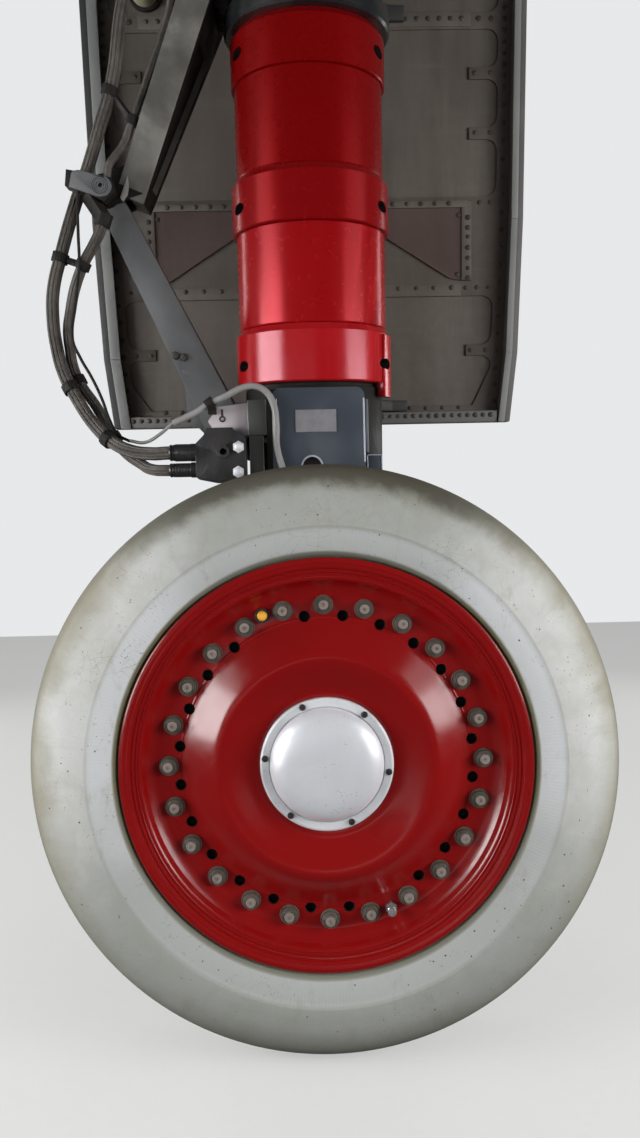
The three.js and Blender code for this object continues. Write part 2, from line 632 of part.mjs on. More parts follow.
function buildBrackets() {
  const box = join(
    solid(block([-104, BRACKET_FRONT, 449], [-75.3, 176, 503])),
    solid(block([-102, 152, 388], [-80, SHELF_FRONT - GAP, 450])),
  );
  part('box_bracket', box, 'linkGrey', leg);
  const plateOutline = [[-166, 474], [-152, 452], [-104.3, 451], [-104.3, 502], [-150, 496]];
  part('triangle_plate', solid(slabY(plateOutline, SHELF_FRONT, 172)), 'linkGrey', leg);
  const clipPlace = { at: new THREE.Vector3(-160, 146, 498), along: new THREE.Vector3(0.8, -0.2, 0.57) };
  const clip = cut(
    join(
      solid(ringAround({ ...clipPlace, along: clipPlace.along.normalize() }, 9, 12)),
      solid(block([-164, 150, 484], [-152, SHELF_FRONT - GAP, 494])),
    ),
    solid(tubeAlong(CONDUIT_POINTS, CONDUIT_RADIUS + GAP, CONDUIT_STEPS)),
  );
  part('conduit_clip', clip, 'black', leg);
  // Manifold: body, neck up to the triangular plate, and the two ports that take the hoses
  const ports = [
    { height: 422, radius: 13 },
    { height: 396, radius: 10.5 },
  ];
  const manifoldOutline = [
    [-180, 384], [-180, 434], [-168, 446], [-163, 457], [-127, 455], [-110, 447], [-106, 440], [-106, 378],
    [-152, 378],
  ];
  let manifold = join(
    solid(slabY(manifoldOutline, 118, 160)),
    solid(slabY([[-163, 440], [-127, 440], [-127, 462], [-158, 462]], 152, SHELF_FRONT - GAP)),
    solid(rodY(10, 113, 119, -139, 420.5, 12)),
  );
  for (const { height, radius } of ports) {
    manifold = join(manifold, solid(rodX(radius, -211.7, -179, 130, height, 12)));
  }
  part('brake_manifold', manifold, 'black', leg);
  part('manifold_cap_upper', solid(rodY(9, 106, 117.7, -116, 427, 6)), 'capSilver', leg);
  part('manifold_cap_lower', solid(rodY(9, 106, 117.7, -117, 390, 6)), 'capSilver', leg);
}

// Door, in strut coordinates

// Height and half width of the door from its lower to its upper edge
const DOOR_EDGE = [
  { height: DOOR_BOTTOM, half: 372 },
  { height: 620, half: 386 },
  { height: 860, half: 395 },
  { height: DOOR_TOP, half: 402 },
];

/** The door's outline moved in by a margin. */
function doorOutline(margin) {
  const right = DOOR_EDGE.map(({ height, half }) => [half - margin, height]);
  right[0][1] += margin;
  right[right.length - 1][1] -= margin;
  const left = right.map(([x, z]) => [-x, z]).reverse();
  return [...right, ...left];
}

const DOUBLER_FRONT = 220.3;
const SKIN_FRONT = 224;
const BEAM_WIDTH = 22;
const BEAM_FRONT = 196;
// Windows in the doubler: lower and upper edge, half width, the heights of the tabs at each side,
// and the slanted lower corners as side, run and rise
const DOOR_WINDOWS = [
  { low: 526, high: 728, half: 338, tabs: [627], slants: [[-1, 34, 50], [1, 32, 72]] },
  { low: 912, high: 1200, half: 348, tabs: [1008, 1122], slants: [] },
  { low: 1226, high: 1470, half: 352, tabs: [1320], slants: [] },
];
const TAB_REACH = 46;
const TAB_HEIGHT = 22;

/** A rectangle with rounded corners, as a solid y0 to y1 thick. */
function roundedWindow(half, low, high, radius, y0, y1) {
  const outline = [];
  const corners = [
    [half - radius, high - radius, 0], [-half + radius, high - radius, 90],
    [-half + radius, low + radius, 180], [half - radius, low + radius, 270],
  ];
  for (const [x, z, start] of corners) {
    for (let step = 0; step <= 3; step += 1) {
      const angle = THREE.MathUtils.degToRad(start + step * 30);
      outline.push([x + radius * Math.cos(angle), z + radius * Math.sin(angle)]);
    }
  }
  return solid(slabY(outline, y0, y1));
}

function buildDoor() {
  const skin = solid(slabY(doorOutline(0), SKIN_FRONT, SKIN_FRONT + DOOR_SKIN));
  part('door_skin', skin, 'doorGrey', strut);
  for (const [name, side] of [['door_beam_left', -1], ['door_beam_right', 1]]) {
    const outer = DOOR_EDGE.map(({ height, half }) => [side * half, height]);
    const inner = DOOR_EDGE.map(({ height, half }) => [side * (half - BEAM_WIDTH), height]).reverse();
    part(name, solid(slabY([...outer, ...inner], BEAM_FRONT, SKIN_FRONT - GAP)), 'doorGrey', strut);
  }
  const crossBeams = [
    { name: 'door_beam_bottom', low: DOOR_BOTTOM, high: DOOR_BOTTOM + BEAM_WIDTH, half: 348.5 },
    { name: 'door_beam_top', low: DOOR_TOP - BEAM_WIDTH, high: DOOR_TOP, half: 379 },
  ];
  for (const { name, low, high, half } of crossBeams) {
    const beam = block([-half, BEAM_FRONT, low], [half, SKIN_FRONT - GAP, high]);
    part(name, solid(beam), 'doorGrey', strut);
  }
  let doubler = solid(slabY(doorOutline(BEAM_WIDTH + GAP), DOUBLER_FRONT, SKIN_FRONT - GAP));
  for (const { low, high, half, tabs, slants } of DOOR_WINDOWS) {
    let window = roundedWindow(half, low, high, 30, DOUBLER_FRONT - 5, SKIN_FRONT + 5);
    for (const [side, run, rise] of slants) {
      const edge = side * (half + 20);
      const corner = [
        [side * (half - run), low], [side * half, low + rise], [edge, low + rise + 20],
        [edge, low - 20], [side * (half - run), low - 20],
      ];
      window = cut(window, solid(slabY(corner, DOUBLER_FRONT - 6, SKIN_FRONT + 6)));
    }
    for (const height of tabs) {
      for (const side of [-1, 1]) {
        const [x0, x1] = [side * (half - TAB_REACH), side * (half + 20)].sort((a, b) => a - b);
        const corner = [x0, DOUBLER_FRONT - 6, height - TAB_HEIGHT / 2];
        window = cut(window, solid(block(corner, [x1, SKIN_FRONT + 6, height + TAB_HEIGHT / 2])));
      }
    }
    doubler = cut(doubler, window);
  }
  part('door_doubler', doubler, 'doorGrey', strut);
  // Cross stiffener with a sloped pocket panel and an upright angle at each side
  const back = DOUBLER_FRONT - GAP;
  let stiffener = solid(block([-290, back - 10, 886], [290, back, 898]));
  for (const side of [-1, 1]) {
    const angle = [side * 284, side * 302].sort((a, b) => a - b);
    stiffener = join(stiffener, solid(block([angle[0], back - 8, 756], [angle[1], back, 898])));
    const pocket = [[60, 887], [285, 887], [285, 756], [262, 760]].map(([x, z]) => [x * side, z]);
    stiffener = join(stiffener, solid(slabY(pocket, back - 5, back)));
  }
  part('door_stiffener', stiffener, 'doorGrey', strut);
  // Yokes that carry the door on the strut
  const far = DOUBLER_FRONT - GAP;
  const yokes = [
    { name: 'door_yoke_lower', low: 516, high: 536, near: HOUSING_BARREL_RADIUS + 0.5 },
    { name: 'door_yoke_upper', low: 1210, high: 1236, near: CYLINDER_RADIUS + 0.5 },
  ];
  for (const { name, low, high, near } of yokes) {
    const shape = new THREE.Shape([
      [-34, near], [34, near], [60, near + 10], [150, far - 14], [180, far - 12], [180, far],
      [-180, far], [-180, far - 12], [-150, far - 14], [-60, near + 10],
    ].map(([x, y]) => new THREE.Vector2(x, y)));
    const geometry = new THREE.ExtrudeGeometry(shape, { depth: high - low, bevelEnabled: false });
    geometry.translate(0, 0, low);
    part(name, solid(geometry), 'linkGrey', strut);
  }
}

buildTyre();
buildOuterHalf();
buildInnerHalf();
buildHubCap();
buildAxle();
buildBrake();
buildAxleHousing();
buildJackPad();
buildCollars();
buildCylinder();
buildTorqueLinks();
buildHoses();
buildBrackets();
buildDoor();

export default group;
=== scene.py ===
"""Looks of an aircraft main landing gear leg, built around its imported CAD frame.

Every piece is modelled in millimetres, on the wheel's centre or on the leaning strut, and is then settled
in the frame's metres. The frame's origin is the middle of the trunnion's left end face.
"""

import logging
import math
import random
from collections.abc import Callable
from dataclasses import dataclass
from enum import Enum
from functools import cache
from itertools import pairwise
from typing import ClassVar

import bmesh
import bpy
from mathutils import Matrix, Vector


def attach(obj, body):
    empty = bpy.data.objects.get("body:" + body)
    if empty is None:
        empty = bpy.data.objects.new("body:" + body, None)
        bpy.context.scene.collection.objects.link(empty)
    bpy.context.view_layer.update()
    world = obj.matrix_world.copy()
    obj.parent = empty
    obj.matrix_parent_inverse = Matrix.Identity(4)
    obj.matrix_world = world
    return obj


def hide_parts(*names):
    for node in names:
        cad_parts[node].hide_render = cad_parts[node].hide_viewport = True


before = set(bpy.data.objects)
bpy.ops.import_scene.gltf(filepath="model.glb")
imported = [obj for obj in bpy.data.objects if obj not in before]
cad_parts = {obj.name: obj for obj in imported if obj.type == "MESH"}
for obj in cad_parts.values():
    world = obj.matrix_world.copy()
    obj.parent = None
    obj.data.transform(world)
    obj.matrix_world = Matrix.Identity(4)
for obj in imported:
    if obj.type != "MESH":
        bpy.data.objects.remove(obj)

log = logging.getLogger("landing_gear_leg")

Point2 = tuple[float, float]
Point3 = tuple[float, float, float]
Colour = tuple[float, float, float]
Piece = bpy.types.Object
Paint = bpy.types.Material
Socket = bpy.types.NodeSocket

WHEEL_CENTRE = Vector((0.190, -0.141347, -1.629458))
STRUT_LEAN = math.radians(6.5)
STRUT_FOOT = WHEEL_CENTRE + Vector((0.0, 0.327, 0.0))
MILLIMETRES = Matrix.Scale(0.001, 4)
ON_WHEEL = Matrix.Translation(WHEEL_CENTRE) @ MILLIMETRES
ON_STRUT = Matrix.Translation(STRUT_FOOT) @ Matrix.Rotation(STRUT_LEAN, 4, "X") @ MILLIMETRES
# A piece turned or drawn out along Z is laid along +Y, along -Y or along +X
ALONG_Y = Matrix.Rotation(-math.pi / 2, 4, "X")
OUTWARDS = Matrix.Rotation(math.pi / 2, 4, "X")
ALONG_X = Matrix.Rotation(math.pi / 2, 4, "Y")
ON_AXLE = ON_WHEEL @ ALONG_Y
# Edges up to this many degrees are smooth, sharper ones are broken
SHARP_EDGE = 32.0


class Body(Enum):
    """The CAD bodies that pieces ride on."""

    LEG = "leg"
    WHEEL = "wheel"


def at(x: float, y: float, z: float) -> Matrix:
    """The matrix that moves a piece by this much."""
    return Matrix.Translation((x, y, z))


def around(radius: float, degrees: float) -> Point2:
    """The x and z of a place on a circle about the axle.

    Args:
        radius: Distance from the axle.
        degrees: Angle from +X towards +Z.

    Returns:
        The place as x and z.
    """
    angle = math.radians(degrees)
    return radius * math.cos(angle), radius * math.sin(angle)


def facing(radius: float, degrees: float, depth: float, spin: float = 0.0) -> Matrix:
    """A place on a circle about the axle, facing outwards.

    Args:
        radius: Distance from the axle.
        degrees: Angle from +X towards +Z.
        depth: The place's y.
        spin: Turn about the piece's own length, in radians.

    Returns:
        The matrix that moves a piece there.
    """
    x, z = around(radius, degrees)
    return at(x, depth, z) @ OUTWARDS @ Matrix.Rotation(spin, 4, "Z")


def widened(size: float) -> Matrix:
    """The matrix that makes a piece this many times as wide."""
    return Matrix.Diagonal((size, size, 1.0, 1.0))


def between(value: float, table: list[Point2]) -> float:
    """A number read off a table of straight stretches.

    Args:
        value: Where to read.
        table: Pairs of place and number, in rising order of place.

    Returns:
        The number at that place, or the table's end number beyond its ends.
    """
    for (low, start), (high, end) in pairwise(table):
        if value <= high:
            return start + (end - start) * max(0.0, value - low) / (high - low)
    return table[-1][1]


def eased(points: list[Point2], cuts: int = 4) -> list[Point2]:
    """A smooth line through the points.

    Args:
        points: The points that the line passes through.
        cuts: How many steps each stretch is made of.

    Returns:
        The points of the finer line.
    """
    ends = [points[0], *points, points[-1]]
    line: list[Point2] = []
    for before, start, end, after in zip(ends, ends[1:], ends[2:], ends[3:]):
        for step in range(cuts):
            t = step / cuts
            line.append(tuple(
                0.5 * (2 * b + (c - a) * t + (2 * a - 5 * b + 4 * c - d) * t * t + (3 * b - a - 3 * c + d) * t**3)
                for a, b, c, d in zip(before, start, end, after)
            ))
    line.append(points[-1])
    return line


class Bench:
    """Modelling steps that the sub-assemblies share, made with Blender's own operators."""

    @staticmethod
    def clear() -> None:
        """Leave edit mode and deselect everything."""
        if bpy.context.object and bpy.context.object.mode != "OBJECT":
            bpy.ops.object.mode_set(mode="OBJECT")
        bpy.ops.object.select_all(action="DESELECT")

    @staticmethod
    def begin(name: str, operator: Callable, **settings: object) -> Piece:
        """Add a piece with one of Blender's operators and name it."""
        Bench.clear()
        operator(**settings)
        piece = bpy.context.object
        piece.name = name
        return piece

    @staticmethod
    def pick(*pieces: Piece) -> None:
        """Select these pieces and make the first one active."""
        Bench.clear()
        for piece in pieces:
            piece.select_set(True)
        bpy.context.view_layer.objects.active = pieces[0]

    @staticmethod
    def edit(piece: Piece, mode: str = "FACE") -> None:
        """Open a piece in edit mode with everything selected."""
        Bench.pick(piece)
        bpy.ops.object.mode_set(mode="EDIT")
        bpy.ops.mesh.select_mode(type=mode)
        bpy.ops.mesh.select_all(action="SELECT")

    @staticmethod
    def close(merge: float = 0.0) -> None:
        """Leave edit mode, if asked after merging points this close and turning the faces outwards."""
        if merge:
            bpy.ops.mesh.select_all(action="SELECT")
            bpy.ops.mesh.remove_doubles(threshold=merge)
            bpy.ops.mesh.normals_make_consistent(inside=False)
        bpy.ops.object.mode_set(mode="OBJECT")

    @staticmethod
    def turned(name: str, outline: list[Point2], steps: int = 96, ring: bool = False) -> Piece:
        """Turn an outline about Z, ring by ring.

        Args:
            name: The piece's name.
            outline: Radius and height of each ring.
            steps: How many sides a ring has.
            ring: True closes the outline on itself, False caps both its ends.

        Returns:
            The new piece.
        """
        radius, height = outline[0]
        fill = "NOTHING" if ring else "NGON"
        piece = Bench.begin(name, bpy.ops.mesh.primitive_circle_add, vertices=steps, radius=radius, fill_type=fill)
        Bench.edit(piece, "VERT")
        bpy.ops.transform.translate(value=(0, 0, height))
        rings = [*outline, outline[0]] if ring else outline
        for (radius, height), (next_radius, next_height) in pairwise(rings):
            rise = (0, 0, next_height - height)
            bpy.ops.mesh.extrude_region_move(TRANSFORM_OT_translate={"value": rise})
            grow = next_radius / radius
            bpy.ops.transform.resize(value=(grow, grow, 1))
        Bench.close(0.002)
        return piece

    @staticmethod
    def rod(name: str, radius: float, low: float, high: float, steps: int = 32, chamfer: float = 1.0,
            bore: float = 0.0) -> Piece:
        """A round bar or tube along Z with broken edges.

        Args:
            name: The piece's name.
            radius: Its outer radius.
            low: Its lower end.
            high: Its upper end.
            steps: How many sides it has.
            chamfer: The size of the broken edges.
            bore: The radius of its bore, or 0 for a bar.

        Returns:
            The new piece.
        """
        wall = [(radius - chamfer, low), (radius, low + chamfer), (radius, high - chamfer), (radius - chamfer, high)]
        if bore:
            return Bench.turned(name, [*wall, (bore, high), (bore, low)], steps, ring=True)
        return Bench.turned(name, wall, steps)

    @staticmethod
    def prism(name: str, outline: list[Point2], low: float, high: float,
              rounds: dict[int, float] | None = None) -> Piece:
        """Draw a flat outline out along Z.

        Args:
            name: The piece's name.
            outline: The corners in order.
            low: Height of the lower face.
            high: Height of the upper face.
            rounds: Corner number to the radius that rounds its upright edge.

        Returns:
            The new piece.
        """
        circle = bpy.ops.mesh.primitive_circle_add
        piece = Bench.begin(name, circle, vertices=len(outline), radius=1, fill_type="NGON")
        Bench.edit(piece, "VERT")
        for index, (x, y) in enumerate(outline):
            mesh = bmesh.from_edit_mesh(piece.data)
            mesh.verts.ensure_lookup_table()
            for vertex in mesh.verts:
                vertex.select_set(vertex.index == index)
            start = mesh.verts[index].co
            move = (x - start.x, y - start.y, low - start.z)
            bmesh.update_edit_mesh(piece.data)
            bpy.ops.transform.translate(value=move)
        bpy.ops.mesh.select_all(action="SELECT")
        bpy.ops.mesh.extrude_region_move(TRANSFORM_OT_translate={"value": (0, 0, high - low)})
        bpy.ops.mesh.select_all(action="SELECT")
        bpy.ops.mesh.normals_make_consistent(inside=False)
        for index, radius in (rounds or {}).items():
            Bench.round_upright(piece, outline[index], radius)
        Bench.close()
        return piece

    @staticmethod
    def round_upright(piece: Piece, corner: Point2, radius: float) -> None:
        """Round the upright edge that stands on a corner of a drawn-out outline."""
        bpy.ops.mesh.select_mode(type="EDGE")
        bpy.ops.mesh.select_all(action="DESELECT")
        mesh = bmesh.from_edit_mesh(piece.data)
        for edge in mesh.edges:
            ends = [vertex.co for vertex in edge.verts]
            edge.select_set(all(math.hypot(p.x - corner[0], p.y - corner[1]) < 0.01 for p in ends))
        bmesh.update_edit_mesh(piece.data)
        bpy.ops.mesh.bevel(offset=radius, segments=6, affect="EDGES")

    @staticmethod
    def box(name: str, low: Point3, high: Point3) -> Piece:
        """A block between two corners."""
        centre = [(a + b) / 2 for a, b in zip(low, high)]
        size = [b - a for a, b in zip(low, high)]
        piece = Bench.begin(name, bpy.ops.mesh.primitive_cube_add, size=1, location=centre, scale=size)
        bpy.ops.object.transform_apply(location=True, rotation=True, scale=True)
        return piece

    @staticmethod
    def tube(name: str, route: list[Point3], radius: float, ribs: int = 0, depth: float = 0.0) -> Piece:
        """Draw a round or ribbed section along a smooth route.

        Args:
            name: The piece's name.
            route: The points that its middle passes through.
            radius: Its outer radius.
            ribs: How many lengthwise ribs it has, or 0 for a plain round section.
            depth: How deep the valleys between the ribs are.

        Returns:
            The new piece as a mesh, with a UV map along it.
        """
        piece = Bench.begin(name, bpy.ops.curve.primitive_bezier_curve_add)
        curve = piece.data
        spline = curve.splines[0]
        spline.bezier_points.add(len(route) - 2)
        for point, place in zip(spline.bezier_points, route):
            point.co = place
            point.handle_left_type = point.handle_right_type = "AUTO"
        curve.resolution_u = 10
        curve.use_fill_caps = True
        section = None
        if ribs:
            bpy.ops.curve.primitive_nurbs_circle_add(radius=radius)
            section = bpy.context.object
            sides = ribs * 4
            ring = section.data.splines.new("POLY")
            ring.points.add(sides - 1)
            ring.use_cyclic_u = True
            for index, point in enumerate(ring.points):
                angle = 2 * math.pi * index / sides
                reach = radius - (depth if index % 4 == 0 else 0)
                point.co = (reach * math.cos(angle), reach * math.sin(angle), 0, 1)
            section.data.splines.remove(section.data.splines[0])
            curve.bevel_mode = "OBJECT"
            curve.bevel_object = section
        else:
            curve.bevel_depth = radius
            curve.bevel_resolution = 5
        Bench.pick(piece)
        bpy.ops.object.convert(target="MESH")
        piece = bpy.context.object
        if section:
            bpy.data.objects.remove(section)
        Bench.edit(piece)
        Bench.close(0.01)
        return piece

    @staticmethod
    def from_node(node: str, name: str, bevel: float = 0.0) -> Piece:
        """A merged copy of a CAD node, with its edges broken.

        Args:
            node: The CAD node.
            name: The new piece's name.
            bevel: Width of the broken edges in metres.

        Returns:
            The new piece, in the frame's metres.
        """
        piece = bpy.data.objects.new(name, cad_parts[node].data.copy())
        bpy.context.scene.collection.objects.link(piece)
        piece.data.materials.clear()
        Bench.edit(piece)
        bpy.ops.mesh.remove_doubles(threshold=0.00002)
        bpy.ops.mesh.dissolve_limited(angle_limit=math.radians(0.6))
        Bench.close()
        if bevel:
            Bench.broken_edges(piece, bevel)
        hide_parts(node)
        return piece

    @staticmethod
    def apply(piece: Piece, modifier: bpy.types.Modifier) -> None:
        """Apply one modifier."""
        Bench.pick(piece)
        bpy.ops.object.modifier_apply(modifier=modifier.name)

    @staticmethod
    def broken_edges(piece: Piece, width: float) -> None:
        """Break every edge that is sharper than SHARP_EDGE."""
        bevel = piece.modifiers.new("broken edges", "BEVEL")
        bevel.width = width
        bevel.segments = 2
        bevel.limit_method = "ANGLE"
        bevel.angle_limit = math.radians(SHARP_EDGE)
        Bench.apply(piece, bevel)

    @staticmethod
    def boolean(piece: Piece, other: Piece, operation: str) -> None:
        """Cut another piece out of this one, or weld it on, and remove the other."""
        change = piece.modifiers.new("boolean", "BOOLEAN")
        change.operation = operation
        change.solver = "EXACT"
        change.object = other
        Bench.apply(piece, change)
        bpy.data.objects.remove(other)

    @staticmethod
    def carve(piece: Piece, cutter: Piece) -> None:
        """Cut a cutter out of a piece."""
        Bench.boolean(piece, cutter, "DIFFERENCE")

    @staticmethod
    def weld(piece: Piece, other: Piece) -> None:
        """Weld another piece onto this one."""
        Bench.boolean(piece, other, "UNION")

    @staticmethod
    def join(name: str, pieces: list[Piece]) -> Piece:
        """Gather separate pieces in one object."""
        Bench.pick(*pieces)
        bpy.ops.object.join()
        joined = bpy.context.object
        joined.name = name
        return joined

    @staticmethod
    def place(piece: Piece, matrix: Matrix) -> Piece:
        """Move a piece by a matrix and write its place into its mesh."""
        Bench.pick(piece)
        piece.matrix_world = matrix @ piece.matrix_world
        bpy.ops.object.transform_apply(location=True, rotation=True, scale=True)
        return piece

    @staticmethod
    def copies(piece: Piece, name: str, places: list[Matrix]) -> Piece:
        """Copy a piece to each place and gather the copies.

        Args:
            piece: The model, which is removed.
            name: The name of what the copies make up.
            places: A matrix for each copy.

        Returns:
            One object that holds all the copies.
        """
        made = []
        for place in places:
            copy = bpy.data.objects.new(name, piece.data.copy())
            bpy.context.scene.collection.objects.link(copy)
            copy.data.transform(place)
            made.append(copy)
        bpy.data.objects.remove(piece)
        return Bench.join(name, made)

    @staticmethod
    def two_tone(piece: Piece, other: Paint, chosen: Callable[[Vector, Vector], bool]) -> None:
        """Give some faces of a dressed piece another finish.

        Args:
            piece: The dressed piece.
            other: The other finish.
            chosen: Takes a face's centre and normal, and says whether it gets the other finish.
        """
        piece.data.materials.append(other)
        mark = len(piece.data.materials) - 1
        for face in piece.data.polygons:
            if chosen(face.center, face.normal):
                face.material_index = mark


class Graph:
    """A node tree with short calls to add and join its nodes."""

    def __init__(self, tree: bpy.types.NodeTree) -> None:
        """Work on this tree."""
        self.tree = tree

    def node(self, kind: str, **settings: object) -> bpy.types.Node:
        """Add a node and set its properties."""
        made = self.tree.nodes.new(kind)
        for key, value in settings.items():
            setattr(made, key, value)
        return made

    def feed(self, socket: Socket, value: object) -> None:
        """Give a socket a link or a plain value."""
        if isinstance(value, Socket):
            self.tree.links.new(value, socket)
        elif isinstance(value, tuple) and socket.type == "RGBA":
            socket.default_value = (*value[:3], 1.0)
        else:
            socket.default_value = value

    def maths(self, operation: str, first: object, second: object = 0.0, clamp: bool = False) -> Socket:
        """A Math node's result."""
        made = self.node("ShaderNodeMath", operation=operation, use_clamp=clamp)
        self.feed(made.inputs[0], first)
        self.feed(made.inputs[1], second)
        return made.outputs[0]

    def times(self, first: object, second: object) -> Socket:
        """One value times another."""
        return self.maths("MULTIPLY", first, second)

    def plus(self, first: object, second: object, clamp: bool = False) -> Socket:
        """The sum of two values."""
        return self.maths("ADD", first, second, clamp)

    def span(self, value: object, low: float, high: float, start: float = 0.0, end: float = 1.0) -> Socket:
        """Map a range of a value smoothly onto another."""
        made = self.node("ShaderNodeMapRange", interpolation_type="SMOOTHSTEP")
        self.feed(made.inputs["Value"], value)
        for key, number in (("From Min", low), ("From Max", high), ("To Min", start), ("To Max", end)):
            made.inputs[key].default_value = number
        return made.outputs["Result"]

    def mix(self, share: object, first: object, second: object) -> Socket:
        """Mix two colours."""
        made = self.node("ShaderNodeMix", data_type="RGBA")
        self.feed(made.inputs[0], share)
        self.feed(made.inputs[6], first)
        self.feed(made.inputs[7], second)
        return made.outputs[2]

    def layer(self, under: object, over: object, mask: object, strength: float) -> Socket:
        """Lay a colour over another where a mask says so, at most this strongly."""
        return self.mix(self.times(mask, strength), under, over)

    def noise(self, vector: object, scale: float, detail: float = 4.0, roughness: float = 0.55,
              distortion: float = 0.0) -> Socket:
        """A noise value."""
        made = self.node("ShaderNodeTexNoise")
        self.feed(made.inputs["Vector"], vector)
        settings = (("Scale", scale), ("Detail", detail), ("Roughness", roughness), ("Distortion", distortion))
        for key, number in settings:
            made.inputs[key].default_value = number
        return made.outputs[0]

    def cells(self, vector: object, scale: float, feature: str = "F1") -> Socket:
        """A Voronoi distance."""
        made = self.node("ShaderNodeTexVoronoi", feature=feature)
        self.feed(made.inputs["Vector"], vector)
        made.inputs["Scale"].default_value = scale
        return made.outputs["Distance"]

    def stretched(self, vector: object, scale: Point3, turn: Point3 = (0.0, 0.0, 0.0)) -> Socket:
        """Coordinates turned and scaled on their axes."""
        made = self.node("ShaderNodeMapping")
        self.feed(made.inputs["Vector"], vector)
        made.inputs["Rotation"].default_value = turn
        made.inputs["Scale"].default_value = scale
        return made.outputs[0]

    def bump(self, height: object, strength: float, distance: float) -> Socket:
        """A normal from a height."""
        made = self.node("ShaderNodeBump")
        self.feed(made.inputs["Height"], height)
        made.inputs["Strength"].default_value = strength
        made.inputs["Distance"].default_value = distance
        return made.outputs[0]


class Effects:
    """Node groups that more than one finish uses."""

    @staticmethod
    def start(name: str, inputs: dict[str, float | None], outputs: tuple[str, ...]) -> tuple:
        """Begin a group.

        Args:
            name: The group's name.
            inputs: Each input's name, with None for a vector and a number for a value.
            outputs: The names of its value outputs.

        Returns:
            The tree, its graph and the two end nodes.
        """
        tree = bpy.data.node_groups.new(name, "ShaderNodeTree")
        for key, value in inputs.items():
            kind = "NodeSocketVector" if value is None else "NodeSocketFloat"
            socket = tree.interface.new_socket(key, in_out="INPUT", socket_type=kind)
            if value is not None:
                socket.default_value = value
        for key in outputs:
            tree.interface.new_socket(key, in_out="OUTPUT", socket_type="NodeSocketFloat")
        graph = Graph(tree)
        return tree, graph, graph.node("NodeGroupInput"), graph.node("NodeGroupOutput")

    @staticmethod
    @cache
    def mottle() -> bpy.types.NodeTree:
        """Large clouds broken by a fine grain, for dirt and uneven colour."""
        tree, graph, given, result = Effects.start("Mottle", {"Vector": None, "Scale": 8.0}, ("Cloud", "Grain"))
        cloud = graph.noise(given.outputs["Vector"], 8.0, 6.0, 0.6, 0.4)
        graph.feed(cloud.node.inputs["Scale"], given.outputs["Scale"])
        grain = graph.noise(given.outputs["Vector"], 80.0, 3.0, 0.6)
        graph.feed(grain.node.inputs["Scale"], graph.times(given.outputs["Scale"], 14.0))
        graph.feed(result.inputs["Cloud"], graph.span(cloud, 0.34, 0.68))
        graph.feed(result.inputs["Grain"], grain)
        return tree

    @staticmethod
    @cache
    def runs() -> bpy.types.NodeTree:
        """Streaks that run down the strut, for paint runs and rain marks."""
        tree, graph, given, result = Effects.start("Runs", {"Vector": None}, ("Fine", "Broad"))
        fine = graph.noise(graph.stretched(given.outputs["Vector"], (90.0, 90.0, 3.2)), 1.0, 4.0, 0.6)
        broad = graph.noise(graph.stretched(given.outputs["Vector"], (16.0, 16.0, 0.9)), 1.0, 3.0, 0.5)
        graph.feed(result.inputs["Fine"], graph.span(fine, 0.42, 0.7))
        graph.feed(result.inputs["Broad"], graph.span(broad, 0.35, 0.68))
        return tree

    @staticmethod
    @cache
    def specks() -> bpy.types.NodeTree:
        """Scattered small spots, for chips, dust and pinholes."""
        inputs = {"Vector": None, "Scale": 120.0, "Size": 0.1}
        tree, graph, given, result = Effects.start("Specks", inputs, ("Mask",))
        cells = graph.cells(given.outputs["Vector"], 120.0)
        graph.feed(cells.node.inputs["Scale"], given.outputs["Scale"])
        spot = graph.maths("LESS_THAN", cells, given.outputs["Size"])
        scatter = graph.noise(given.outputs["Vector"], 30.0, 2.0)
        graph.feed(result.inputs["Mask"], graph.times(spot, graph.span(scatter, 0.52, 0.62)))
        return tree

    @staticmethod
    @cache
    def about_axle() -> bpy.types.NodeTree:
        """Distance from the axle in metres, and the turn about it in radians."""
        tree, graph, given, result = Effects.start("AboutAxle", {"Vector": None}, ("Radius", "Turn"))
        moved = graph.node("ShaderNodeVectorMath", operation="SUBTRACT")
        graph.feed(moved.inputs[0], given.outputs["Vector"])
        moved.inputs[1].default_value = WHEEL_CENTRE
        parts = graph.node("ShaderNodeSeparateXYZ")
        graph.feed(parts.inputs[0], moved.outputs[0])
        x, z = parts.outputs["X"], parts.outputs["Z"]
        squares = graph.plus(graph.times(x, x), graph.times(z, z))
        graph.feed(result.inputs["Radius"], graph.maths("SQRT", squares))
        graph.feed(result.inputs["Turn"], graph.maths("ARCTAN2", z, x))
        return tree


class Finish:
    """What every finish starts from: a material with one Principled shader on Object coordinates."""

    name = "Finish"

    def begin(self) -> tuple[Paint, Graph, Socket]:
        """Begin the material.

        Returns:
            The material, its graph and the Object coordinates.
        """
        material = bpy.data.materials.new(self.name)
        material.use_nodes = True
        graph = Graph(material.node_tree)
        return material, graph, graph.node("ShaderNodeTexCoord").outputs["Object"]

    @staticmethod
    def end(material: Paint, **sockets: object) -> Paint:
        """Feed the shader's sockets, named with _ for a space, and give the finished material."""
        shader = material.node_tree.nodes["Principled BSDF"]
        for key, value in sockets.items():
            Graph(material.node_tree).feed(shader.inputs[key.replace("_", " ")], value)
        return material

    @staticmethod
    def effect(graph: Graph, tree: bpy.types.NodeTree, place: Socket, **values: float) -> tuple:
        """Put a shared effect in the material with its own values, and give what it puts out."""
        made = graph.node("ShaderNodeGroup", node_tree=tree)
        graph.feed(made.inputs["Vector"], place)
        for key, value in values.items():
            made.inputs[key].default_value = value
        return tuple(made.outputs)


